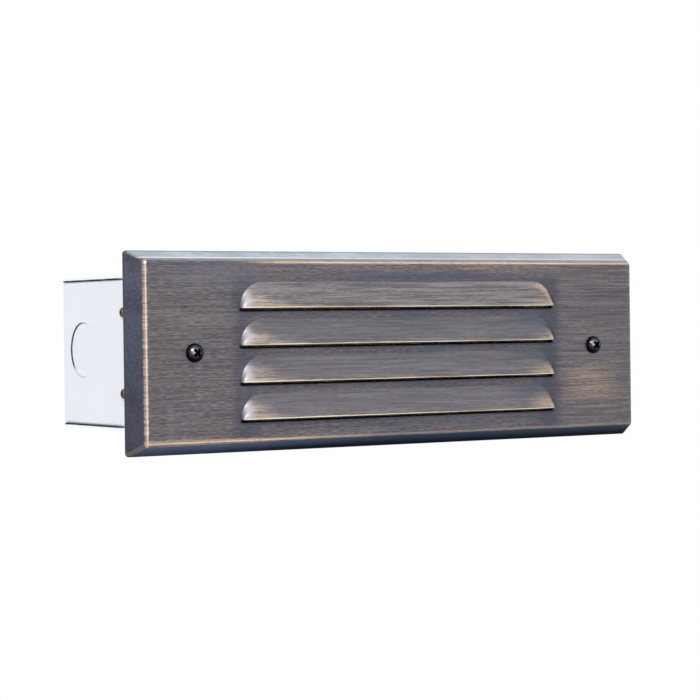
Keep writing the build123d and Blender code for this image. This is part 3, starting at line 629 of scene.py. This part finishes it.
        # The painted-shade slots and bottom bevel, and the unbrushed insides, lose the coat and
        # are fully metallic, which keeps them dark
        dull = self.larger(self.slot, self.unbrushed)
        dull = self.larger(dull, self.times(self.low_bevel, self.bevel))
        lines = self.add(self.times(self.hair, 0.5), self.times(self.fine, 0.5))
        self.surface(
            {
                "Base Color": self.colour,
                "Metallic": self.span(dull, 0.65, 1.0),
                "Roughness": self.span(self.hair, 0.36, 0.56),
                "Anisotropic": 0.4,
                "Tangent": self.node("ShaderNodeCombineXYZ", {0: 1.0}).outputs[0],
                "Normal": self.bump(lines, 0.02),
                "Specular Tint": "b6bac4",
                "Coat Weight": self.times(self.opposite(dull), 0.30),
                "Coat Roughness": 0.25,
            }
        )


material("aged_brass", AgedBrass).paint_layers()

# ---------------------------------------------------------------- other finishes


def metal(name, dark, light, grain, roughness, depth=0.01, metallic=1.0, patch=""):
    """Metal with brushed or rolled grain, roughness that varies, and faint patches."""
    g = material(name)
    position = g.position()
    fine = g.noise(position, grain, 3.0, 0.6)
    broad = g.noise(position, (9.0, 9.0, 9.0), 3.0, 0.55, (4.2, 7.7, 1.3))
    colour = g.mix(fine, dark, light)
    if patch:
        colour = g.mix(g.times(g.step(broad, 0.5, 0.75), 0.5), colour, patch)
    g.surface(
        {
            "Base Color": colour,
            "Metallic": metallic,
            "Roughness": g.add(roughness, g.times(g.add(fine, broad), 0.09)),
            "Normal": g.bump(fine, depth),
        }
    )


def moulded(name, dark, light, roughness, grain, depth, subsurface=0.0):
    """Moulded plastic or rubber with a fine texture and a slightly uneven colour."""
    g = material(name)
    position = g.position()
    fine = g.noise(position, (grain, grain, grain), 2.0, 0.5)
    broad = g.noise(position, (14.0, 14.0, 14.0), 3.0, 0.6, (2.1, 5.4, 8.8))
    g.surface(
        {
            "Base Color": g.mix(broad, dark, light),
            "Roughness": g.add(roughness, g.times(broad, 0.1)),
            "Normal": g.bump(fine, depth),
            "Subsurface Weight": subsurface,
        }
    )


metal("stainless", "8f8f8e", "b9b8b5", (4.0, 4.0, 0.3), 0.25)
metal("zinc_sheet", "8b8e91", "b4b7ba", (3.0, 3.0, 3.0), 0.32, patch="9a9c98")
metal("yellow_zinc", "4d432f", "88755a", (0.8, 0.8, 0.8), 0.22, depth=0.006, patch="2f2a1c")
metal("reflector_aluminium", "c4c6c8", "e6e7e8", (30.0, 0.5, 0.5), 0.16, depth=0.008)
metal("contact_brass", "a8863f", "dcbc72", (2.0, 0.4, 0.4), 0.26)
metal("filament_wire", "55524f", "8c8884", (0.4, 0.4, 0.4), 0.3)
metal(
    "green_screw",
    "1d6a34",
    "2f8d4b",
    (0.7, 0.7, 0.7),
    0.25,
    depth=0.006,
    metallic=0.7,
    patch="5d8a4c",
)
moulded("washer_nylon", "d2cdbf", "e6e2d6", 0.42, grain=0.4, depth=0.008, subsurface=0.15)
moulded("silicone", "a9aaa8", "c3c4c1", 0.5, grain=0.6, depth=0.01)
moulded("socket_plastic", "131315", "212124", 0.4, grain=0.35, depth=0.012)
moulded("block_nylon", "d9d5c6", "ece8db", 0.4, grain=0.4, depth=0.01, subsurface=0.1)
moulded("lead_insulation", "101011", "1d1d1f", 0.38, grain=0.7, depth=0.01)

# The faceplate screws' heads, mm, for their finish and their shape

SCREW_HEAD_RADIUS = 3.68
SCREW_HEAD_HEIGHT = 2.9
SCREW_DOME = 4.09           # radius of the head's dome


def black_screw():
    """Black oxide, worn bare round its recess, with a painted sheen and a painted highlight on the
    head's crown.
    """
    g = material("black_screw")
    position = g.position()
    x, y, z = g.axes(position)
    fine = g.noise(position, (0.5, 0.5, 0.5), 3.0, 0.6)
    worn = g.noise(position, (1.4, 1.4, 1.4), 3.0, 0.6, (6.1, 0.4, 3.3))
    colour = g.mix(fine, "020203", "070708")
    colour = g.mix(g.times(g.step(worn, 0.62, 0.74), 0.4), colour, "4d4030")
    across = g.minus(x, g.times(g.math("SIGN", x), SCREW_X))
    square = g.square(across, z)
    radial = g.math("SQRT", square)
    crown = g.times(g.step(radial, 3.4, 2.9), g.step(y, FACE_Y - 0.9, FACE_Y - 1.3))
    # Painted sheen and painted highlight on the crown's upper left; the ring round the recess is
    # worn bare
    painted_sheen = g.times(g.blob(across, z, (-0.6, 0.6), (3.5, 3.3)), crown)
    painted_glint = g.times(g.blob(across, z, (-1.35, 0.75), (1.5, 1.6)), crown)
    ring = g.times(g.step(g.apart(radial, 1.85), 0.40, 0.10), crown, g.step(worn, 0.44, 0.56))
    bare = g.larger(g.times(painted_sheen, 0.85), g.times(ring, 0.6))
    colour = g.mix(bare, colour, "686c7a")
    colour = g.mix(g.times(painted_glint, 0.9), colour, "cbcace")

    # The recess stays black below the dome's surface
    dome_y = g.math("SQRT", g.minus(SCREW_DOME**2, square))
    depth = g.minus(g.add(y, dome_y), FACE_Y - SCREW_HEAD_HEIGHT + SCREW_DOME)
    recess = g.times(g.step(depth, 0.04, 0.16), g.step(radial, 2.4, 2.2))
    colour = g.mix(recess, colour, "010101")
    bright = g.times(g.larger(bare, painted_glint), g.opposite(recess))
    g.surface(
        {
            "Base Color": colour,
            "Metallic": g.times(bright, 0.9),
            "Specular IOR Level": 0.06,
            "Roughness": g.add(0.12, g.times(fine, 0.12)),
            "Normal": g.bump(fine, 0.008),
        }
    )


def foam():
    g = material("foam")
    position = g.position()
    cells = g.node(
        "ShaderNodeTexVoronoi", {"Vector": position, "Scale": 2.2}, feature="SMOOTH_F1"
    ).outputs["Distance"]
    broad = g.noise(position, (6.0, 6.0, 6.0), 3.0, 0.6)
    g.surface(
        {
            "Base Color": g.mix(cells, "111112", "2a2a2b"),
            "Roughness": g.add(0.82, g.times(broad, 0.12)),
            "Normal": g.bump(cells, 0.12),
        }
    )


def white_sheet():
    """White powder coat, with painted shade in the end panels' seams and round the left knockout,
    and a painted highlight on the folded sheet's edge.
    """
    g = material("white_sheet")
    position = g.position()
    x, y, z = g.axes(position)
    peel = g.noise(position, (1.3, 1.3, 1.3), 2.0, 0.5)
    broad = g.noise(position, (35.0, 28.0, 22.0), 2.0, 0.5, (1.9, 3.3, 6.1))
    speck = g.noise(position, (0.7, 0.7, 0.7), 2.0, 0.5, (9.0, 2.0, 4.0))
    colour = g.mix(broad, "eaedf1", "f4f6f9")
    colour = g.mix(g.times(g.step(speck, 0.72, 0.8), 0.12), colour, "8f9499")

    # The folded sheet's edge, whiter than its faces as a painted highlight, and painted shade in
    # the seam beside it
    at_end = g.step(g.absolute(x), 107.6, 108.0)
    high = g.absolute(z)
    edge = g.times(g.step(high, SHEET_EDGE_Z - 0.02, SHEET_EDGE_Z + 0.02), at_end)
    colour = g.mix(edge, colour, "fbfdfd")
    uneven = g.noise(position, (6.0, 6.0, 6.0), 3.0, 0.6, (3.0, 3.0, 0.0))
    from_seam = g.add(g.apart(high, SEAM_Z), g.times(uneven, 0.30))
    seam_shade = g.times(g.step(from_seam, 0.50, 0.30), at_end, g.step(y, 21.0, 31.0))
    colour = g.mix(seam_shade, colour, "101a1b")

    # The groove round the knockout's slug, in painted shade that is darkest towards the back
    past_y = g.minus(y, KNOCKOUT_Y)
    past_z = g.minus(z, KNOCKOUT_Z)
    radius = g.length(past_y, past_z)
    groove = g.step(g.apart(radius, KNOCKOUT_RADIUS), 0.42, 0.14)
    shaded_side = g.times(
        g.step(g.over(past_y, radius), -0.35, 0.55), g.step(g.over(past_z, radius), -0.78, -0.50)
    )
    groove = g.times(groove, at_end, g.step(x, -100.0, -101.0), g.span(shaded_side, 0.16, 0.98))
    colour = g.mix(groove, colour, "1c3233")
    g.surface(
        {
            "Base Color": colour,
            "Roughness": g.add(0.34, g.times(peel, 0.12)),
            "Normal": g.bump(peel, 0.012),
            "Coat Weight": 0.2,
            "Coat Roughness": 0.15,
        }
    )


def frosted_glass():
    g = material("frosted_glass")
    position = g.position()
    pebble = g.noise(position, (1.6, 1.6, 1.6), 3.0, 0.6)
    broad = g.noise(position, (30.0, 30.0, 30.0), 2.0, 0.5)
    g.surface(
        {
            "Base Color": g.mix(broad, "e9f0ef", "f7fbfa"),
            "Roughness": g.add(0.42, g.times(pebble, 0.12)),
            "Transmission Weight": 0.9,
            "IOR": 1.5,
            "Normal": g.bump(pebble, 0.05),
        }
    )


def bulb_glass():
    g = material("bulb_glass")
    ripple = g.noise(g.position(), (6.0, 6.0, 6.0), 2.0, 0.5)
    g.surface(
        {
            "Base Color": g.mix(ripple, "f6f9f9", "ffffff"),
            "Roughness": g.times(ripple, 0.04),
            "Transmission Weight": 1.0,
            "IOR": 1.47,
            "Normal": g.bump(ripple, 0.03),
        }
    )


black_screw()
foam()
white_sheet()
frosted_glass()
bulb_glass()

# ---------------------------------------------------------------- the solids that stay

SHARP_ANGLE = 32            # degrees, above which an edge is shaded sharp
ROUNDED_ANGLE = 40          # degrees, above which an edge is rounded
# How far the edges of a solid are rounded, mm
ROUNDED = {
    "box_shell": 0.18,
    "left_end_panel": 0.15,
    "right_end_panel": 0.15,
    "left_knockout_slug": 0.12,
    "back_knockout_slug": 0.12,
    "left_plate_bracket": 0.2,
    "right_plate_bracket": 0.2,
    "lens": 0.5,
    "lens_gasket": 0.25,
    "lens_clips": 0.15,
    "terminal_block": 0.35,
    "terminal_inserts": 0.1,
    "left_lamp_socket": 0.3,
    "right_lamp_socket": 0.3,
    "reflector": 0.12,
}

slot_of = {part["node"]: part["material_slot"] for part in frame["record"]["subparts"]}


def smooth_faces(mesh):
    mesh.shade_smooth()
    mesh.set_sharp_from_angle(angle=math.radians(SHARP_ANGLE))


def round_edges(obj, width, angle=ROUNDED_ANGLE):
    """Small rounding, in mm, on the edges where faces meet at more than an angle."""
    bevel = obj.modifiers.new("round_edges", "BEVEL")
    bevel.width = width * MM
    bevel.segments = 2
    bevel.limit_method = "ANGLE"
    bevel.angle_limit = math.radians(angle)
    bevel.harden_normals = True


for name, obj in nodes.items():
    obj.data.materials.clear()
    obj.data.materials.append(materials[slot_of[name]])
    smooth_faces(obj.data)
    if name in ROUNDED:
        round_edges(obj, ROUNDED[name])

# ---------------------------------------------------------------- pieces built here


def full_turn(count):
    """Angles of count points evenly round a circle."""
    return [2 * math.pi * i / count for i in range(count)]


def piece(name, skin, slot, body, *replaced):
    """Mesh piece made of a skin, that rides on a body and takes a slot's finish."""
    mesh = skin.mesh(name)
    smooth_faces(mesh)
    obj = bpy.data.objects.new(name, mesh)
    scene.collection.objects.link(obj)
    mesh.materials.append(materials[slot])
    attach(obj, body)
    if replaced:
        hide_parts(*replaced)
    return obj


class Skin:
    """Points, in mm, and faces gathered from closed tubes of rings."""

    def __init__(self):
        self.points = []
        self.faces = []

    def mesh(self, name):
        made = bpy.data.meshes.new(name)
        made.from_pydata([Vector(point) * MM for point in self.points], [], self.faces)
        return made

    def tube(self, rings, flip=False):
        """Closed tube through rings of equally many points, capped at both ends."""
        first = len(self.points)
        count = len(rings[0])
        made = []
        for ring in rings:
            self.points.extend(ring)
        for i in range(len(rings) - 1):
            low = first + i * count
            high = low + count
            for j in range(count):
                k = (j + 1) % count
                made.append((low + j, low + k, high + k, high + j))
        last = first + (len(rings) - 1) * count
        made.append(tuple(range(first + count - 1, first - 1, -1)))
        made.append(tuple(range(last, last + count)))
        self.faces.extend(tuple(reversed(face)) if flip else face for face in made)

    def wire(self, path, radius, sides=8):
        """Round wire of one radius along a path."""
        rings = []
        side = None
        for i, point in enumerate(path):
            ahead = path[min(i + 1, len(path) - 1)] - path[max(i - 1, 0)]
            ahead.normalize()
            if side is None:
                side = ahead.orthogonal().normalized()
            side = (side - ahead * side.dot(ahead)).normalized()
            across = ahead.cross(side)
            rings.append(
                [
                    point + (side * math.cos(turn) + across * math.sin(turn)) * radius
                    for turn in full_turn(sides)
                ]
            )
        self.tube(rings)


def cut_out(obj, skin):
    """Cuts a closed shape out of a piece."""
    cutter = bpy.data.objects.new("cutter", skin.mesh("cutter"))
    scene.collection.objects.link(cutter)
    boolean = obj.modifiers.new("cut", "BOOLEAN")
    boolean.operation = "DIFFERENCE"
    boolean.solver = "EXACT"
    boolean.object = cutter
    graph = bpy.context.evaluated_depsgraph_get()
    graph.update()
    result = bpy.data.meshes.new_from_object(obj.evaluated_get(graph))
    obj.modifiers.clear()
    obj.data = result
    bpy.data.objects.remove(cutter)
    smooth_faces(result)


# Faceplate screws, mm

SCREW_SIDES = 40
SCREW_RIM_HEIGHT = 0.48
DOME_RINGS = 12
DOME_EASE = 0.985           # share of the way to the rim at which the dome's last ring lies
SEAT_CHAMFER = 0.1
SEAT_GAP = 0.02             # keeps the head's seat clear of the face
SCREW_RADIUS = 2.08
SCREW_LENGTH = 25.4
THREAD_START = 2.4
THREAD_PITCH = 0.794
THREAD_DEPTH = 0.45
THREAD_STEPS = 8            # rings for each turn
THREAD_ROOT = 0.12          # share of the pitch that is the groove's flat
THREAD_FLANKS = 0.7         # share of the pitch that is sloping, on both sides of it
THREAD_RUNOUT = 1.5         # turns over which the tip tapers
TIP_TAPER = 1.2             # in thread depths
RECESS_TURN = 45.0          # degrees
RECESS_DEPTH = 1.5
RECESS_FLOOR = (1.45, 0.55)     # half length and half width of the cross
RECESS_MOUTH = (2.15, 0.66)
CUTTER_PROUD = 0.1          # how far the recess's cutter stands out of the head


def clamp(value):
    return min(max(value, 0.0), 1.0)


def thread_radius(turn, depth):
    """Radius of the threaded shank at an angle and a depth below the head."""
    phase = (depth / THREAD_PITCH - turn / (2 * math.pi)) % 1.0
    ridge = clamp((abs(2 * phase - 1) - THREAD_ROOT) / THREAD_FLANKS)
    begun = clamp((depth - THREAD_START) / THREAD_PITCH)
    tip = clamp((SCREW_LENGTH - depth) / (THREAD_RUNOUT * THREAD_PITCH))
    radius = SCREW_RADIUS - THREAD_DEPTH * (1 - ridge) * begun
    return radius - (1 - tip) * THREAD_DEPTH * TIP_TAPER


def head_outline():
    """Radius and height of the head's rings, from near its crown to the shank."""
    edge = math.asin(SCREW_HEAD_RADIUS / SCREW_DOME)
    angles = [edge * i / DOME_RINGS for i in range(1, DOME_RINGS)] + [edge * DOME_EASE]
    dome = [
        (SCREW_DOME * math.sin(a), SCREW_HEAD_HEIGHT - SCREW_DOME * (1 - math.cos(a)))
        for a in angles
    ]
    return dome + [
        (SCREW_HEAD_RADIUS, SCREW_RIM_HEIGHT),
        (SCREW_HEAD_RADIUS, SEAT_CHAMFER),
        (SCREW_HEAD_RADIUS - SEAT_CHAMFER, SEAT_GAP),
        (SCREW_RADIUS, SEAT_GAP),
    ]


def recess_ring(x, half_sizes, height):
    """Cross outline at a height over the head's seat, turned as the screw is."""
    half_length, half_width = half_sizes
    ring = []
    for quarter in range(4):
        angle = math.radians(RECESS_TURN) + quarter * math.pi / 2
        cos, sin = math.cos(angle), math.sin(angle)
        for along, across in (
            (half_length, -half_width),
            (half_length, half_width),
            (half_width, half_width),
        ):
            ring.append(
                (x + along * cos - across * sin, FACE_Y - height, along * sin + across * cos)
            )
    return ring


def faceplate_screw(side, x):
    """Black machine screw: domed head with a tapering cross recess, and a threaded shank."""
    turns = full_turn(SCREW_SIDES)

    def ring(height, radii):
        return [
            (x + radius * math.cos(turn), FACE_Y - height, radius * math.sin(turn))
            for radius, turn in zip(radii, turns)
        ]

    rings = [ring(height, [radius] * SCREW_SIDES) for radius, height in head_outline()]
    threaded = SCREW_LENGTH - THREAD_START
    steps = int(threaded / THREAD_PITCH * THREAD_STEPS)
    for i in range(steps + 1):
        depth = THREAD_START + threaded * i / steps
        rings.append(ring(-depth, [thread_radius(turn, depth) for turn in turns]))
    skin = Skin()
    skin.tube(rings)
    screw = piece(
        f"{side}_machine_screw",
        skin,
        "black_screw",
        f"{side}_screw",
        f"{side}_faceplate_screw",
    )
    recess = Skin()
    recess.tube(
        [
            recess_ring(x, RECESS_FLOOR, SCREW_HEAD_HEIGHT - RECESS_DEPTH),
            recess_ring(x, RECESS_MOUTH, SCREW_HEAD_HEIGHT + CUTTER_PROUD),
        ]
    )
    cut_out(screw, recess)
    round_edges(screw, width=0.12, angle=65)


for side, x in (("left", -SCREW_X), ("right", SCREW_X)):
    faceplate_screw(side, x)

# Lamps, mm: lengths along a bulb are from its tip

LAMP_Y = 28.0
BULB_TIP_X = 36.7
BULB_RADIUS = 7.5
BULB_TAPER = 23.2
BULB_SHOULDER = 28.0
BULB_LENGTH = 37.0
BULB_SIDES = 48
TIP_RINGS = 10
BODY_RINGS = 4
TAPER_RINGS = 8
BASE_EDGE = 0.4             # length and depth of the narrowing at the base's end
BASE_INSET = 0.3
ROUND_POWER = 2.0           # superellipse powers of the body and of the wedge
WEDGE_POWER = 6.0
THINNEST = 0.02             # least half size of a ring
WEDGE_HALF_THICK = 1.05
WEDGE_HALF_WIDE = 4.7
GLASS_WALL = 0.55
HOLLOW_END = BULB_SHOULDER - 1.4
BEAD_X = 58.2               # the glass bead round the support wires
BEAD_RADIUS = 0.75
POST_RADIUS = 0.22
# A support wire's X, and its distance from the lamp's axis
POST_PATH = (
    (66.0, 1.3),
    (63.5, 1.3),
    (61.5, 1.7),
    (59.0, 2.1),
    (54.0, 2.2),
    (50.6, 2.35),
    (49.9, 2.2),
)
COIL_X = 49.9
COIL_BOW = 0.5              # how far the coil bows towards the tip at its middle
COIL_HALF_SPAN = 2.3
COIL_RADIUS = 0.33
COIL_TURNS = 15
COIL_STEPS = 12             # points for each turn
COIL_WIRE_RADIUS = 0.08


def bulb_section(along):
    """Half thickness (Y), half width (Z) and superellipse power at a distance from the tip."""
    if along < BULB_RADIUS:
        radius = math.sqrt(max(BULB_RADIUS**2 - (BULB_RADIUS - along) ** 2, 0.0))
        return radius, radius, ROUND_POWER
    share = clamp((along - BULB_TAPER) / (BULB_SHOULDER - BULB_TAPER))
    pinch = share * share * (3 - 2 * share)
    thick = BULB_RADIUS + (WEDGE_HALF_THICK - BULB_RADIUS) * pinch
    wide = BULB_RADIUS + (WEDGE_HALF_WIDE - BULB_RADIUS) * pinch
    return thick, wide, ROUND_POWER + (WEDGE_POWER - ROUND_POWER) * pinch


def bulb_ring(mirror, along, inset):
    """Superellipse round the bulb, inset from its outside."""
    thick, wide, power = bulb_section(along)
    thick, wide = max(thick - inset, THINNEST), max(wide - inset, THINNEST)
    ring = []
    for turn in full_turn(BULB_SIDES):
        c, s = math.cos(turn), math.sin(turn)
        y = math.copysign(abs(c) ** (2 / power), c) * thick
        z = math.copysign(abs(s) ** (2 / power), s) * wide
        ring.append((mirror * (BULB_TIP_X + along), LAMP_Y + y, z))
    return ring


def spread(start, end, count):
    """Values evenly spread from start to end, without start itself."""
    return [start + (end - start) * i / count for i in range(1, count + 1)]


def lamp_bulb(side, mirror):
    """Wedge-base bulb: a glass shell pinched flat into its base, with a bead round the wires."""
    tip = [
        BULB_RADIUS * (1 - math.cos(math.pi / 2 * i / TIP_RINGS)) for i in range(1, TIP_RINGS + 1)
    ]
    hollow = tip + spread(BULB_RADIUS, BULB_TAPER, BODY_RINGS)
    hollow += spread(BULB_TAPER, BULB_SHOULDER, TAPER_RINGS)
    wedge = [BULB_SHOULDER + 1, BULB_LENGTH - BASE_EDGE]
    outer = [bulb_ring(mirror, along, 0.0) for along in hollow + wedge]
    outer.append(bulb_ring(mirror, BULB_LENGTH, BASE_INSET))
    inner = []
    for along in hollow:
        if along < HOLLOW_END:
            behind_tip = GLASS_WALL * max(1 - along / BULB_TAPER, 0.0)
            inner.append(bulb_ring(mirror, along + behind_tip, GLASS_WALL))
    skin = Skin()
    skin.tube(outer, flip=mirror < 0)
    skin.tube(inner, flip=mirror > 0)
    bead = [Vector((mirror * BEAD_X, LAMP_Y, z)) for z in (-3.0, -2.6, 0.0, 2.6, 3.0)]
    skin.wire(bead, BEAD_RADIUS, 12)
    piece(f"{side}_glass_bulb", skin, "bulb_glass", f"{side}_lamp", f"{side}_lamp_bulb")


def lamp_filament(side, mirror):
    """Two bent wires that hold a coiled filament."""
    skin = Skin()
    for z in (-1, 1):
        post = [Vector((mirror * x, LAMP_Y, z * out)) for x, out in POST_PATH]
        skin.wire(post, POST_RADIUS)
    coil = []
    for i in range(COIL_TURNS * COIL_STEPS + 1):
        angle = 2 * math.pi * i / COIL_STEPS
        z = -COIL_HALF_SPAN + 2 * COIL_HALF_SPAN * i / (COIL_TURNS * COIL_STEPS)
        bow = COIL_BOW * math.cos(math.pi * z / (2 * COIL_HALF_SPAN))
        x = COIL_X - bow + COIL_RADIUS * math.cos(angle)
        coil.append(Vector((mirror * x, LAMP_Y + COIL_RADIUS * math.sin(angle), z)))
    skin.wire(coil, COIL_WIRE_RADIUS, 6)
    piece(
        f"{side}_coiled_filament",
        skin,
        "filament_wire",
        f"{side}_lamp",
        f"{side}_lamp_filament",
    )


for side, mirror in (("left", -1), ("right", 1)):
    lamp_bulb(side, mirror)
    lamp_filament(side, mirror)

# ---------------------------------------------------------------- floor, lights and world, m

FLOOR_RADIUS = 0.95
FLOOR_HEIGHT = -0.33
FLOOR_SIDES = 96
COOL_WHITE = "f3f7ff"


def floor():
    """Pale round floor below the light, which hangs on a wall."""
    corners = [
        (FLOOR_RADIUS * math.cos(turn), FLOOR_RADIUS * math.sin(turn), FLOOR_HEIGHT)
        for turn in full_turn(FLOOR_SIDES)
    ]
    mesh = bpy.data.meshes.new("floor")
    mesh.from_pydata(corners, [], [tuple(range(FLOOR_SIDES))])
    obj = bpy.data.objects.new("floor", mesh)
    scene.collection.objects.link(obj)
    g = material("floor")
    grain = g.noise(g.position(), (40.0, 40.0, 40.0), 3.0, 0.5)
    g.surface({"Base Color": g.mix(grain, "c6c8cc", "cfd0d3"), "Roughness": 0.85})
    mesh.materials.append(materials["floor"])


def soft_lamp(name, place, size, watts, aim=(0, 0, 0), colour="ffffff"):
    """Square area lamp at a place, turned towards a point."""
    data = bpy.data.lights.new(name, "AREA")
    data.shape = "RECTANGLE"
    data.size = data.size_y = size
    data.energy = watts
    data.color = rgb(colour)[:3]
    obj = bpy.data.objects.new(name, data)
    scene.collection.objects.link(obj)
    obj.location = place
    obj.rotation_euler = (Vector(aim) - Vector(place)).to_track_quat("-Z", "Y").to_euler()


def light_world():
    """White where the camera, gloss and glass see it, and an even soft light on the object."""
    world = bpy.data.worlds.new("studio")
    scene.world = world
    g = Graph(world)
    direction = g.node("ShaderNodeTexCoord", {}).outputs["Generated"]
    height = g.axes(direction)[2]
    soft = g.ramp(
        g.add(g.times(height, 0.5), 0.5),
        [(0.0, "8b8e96"), (0.44, "b4b6bb"), (0.52, "e6e6e8"), (0.8, "ffffff")],
    )
    rays = g.node("ShaderNodeLightPath", {}).outputs
    shown = g.larger(rays["Is Camera Ray"], rays["Is Glossy Ray"])
    shown = g.larger(shown, rays["Is Transmission Ray"])
    seen = g.node("ShaderNodeBackground", {"Color": "ffffff", "Strength": 1.0})
    lit = g.node("ShaderNodeBackground", {"Color": soft, "Strength": 0.7})
    mixed = g.node("ShaderNodeMixShader", {0: shown, 1: lit.outputs[0], 2: seen.outputs[0]})
    g.node("ShaderNodeOutputWorld", {"Surface": mixed.outputs[0]})


floor()
soft_lamp("key", place=(-1.0, -1.2, 1.0), size=0.5, watts=10)
soft_lamp("glint", place=(-0.9, -1.1, 1.0), size=0.12, watts=2)
soft_lamp("side", place=(-1.6, 0.4, 0.4), aim=(-0.1, 0, 0), size=1.0, watts=6, colour=COOL_WHITE)
soft_lamp("back", place=(0.8, 0.9, 1.0), size=1.0, watts=3.6, colour=COOL_WHITE)
light_world()
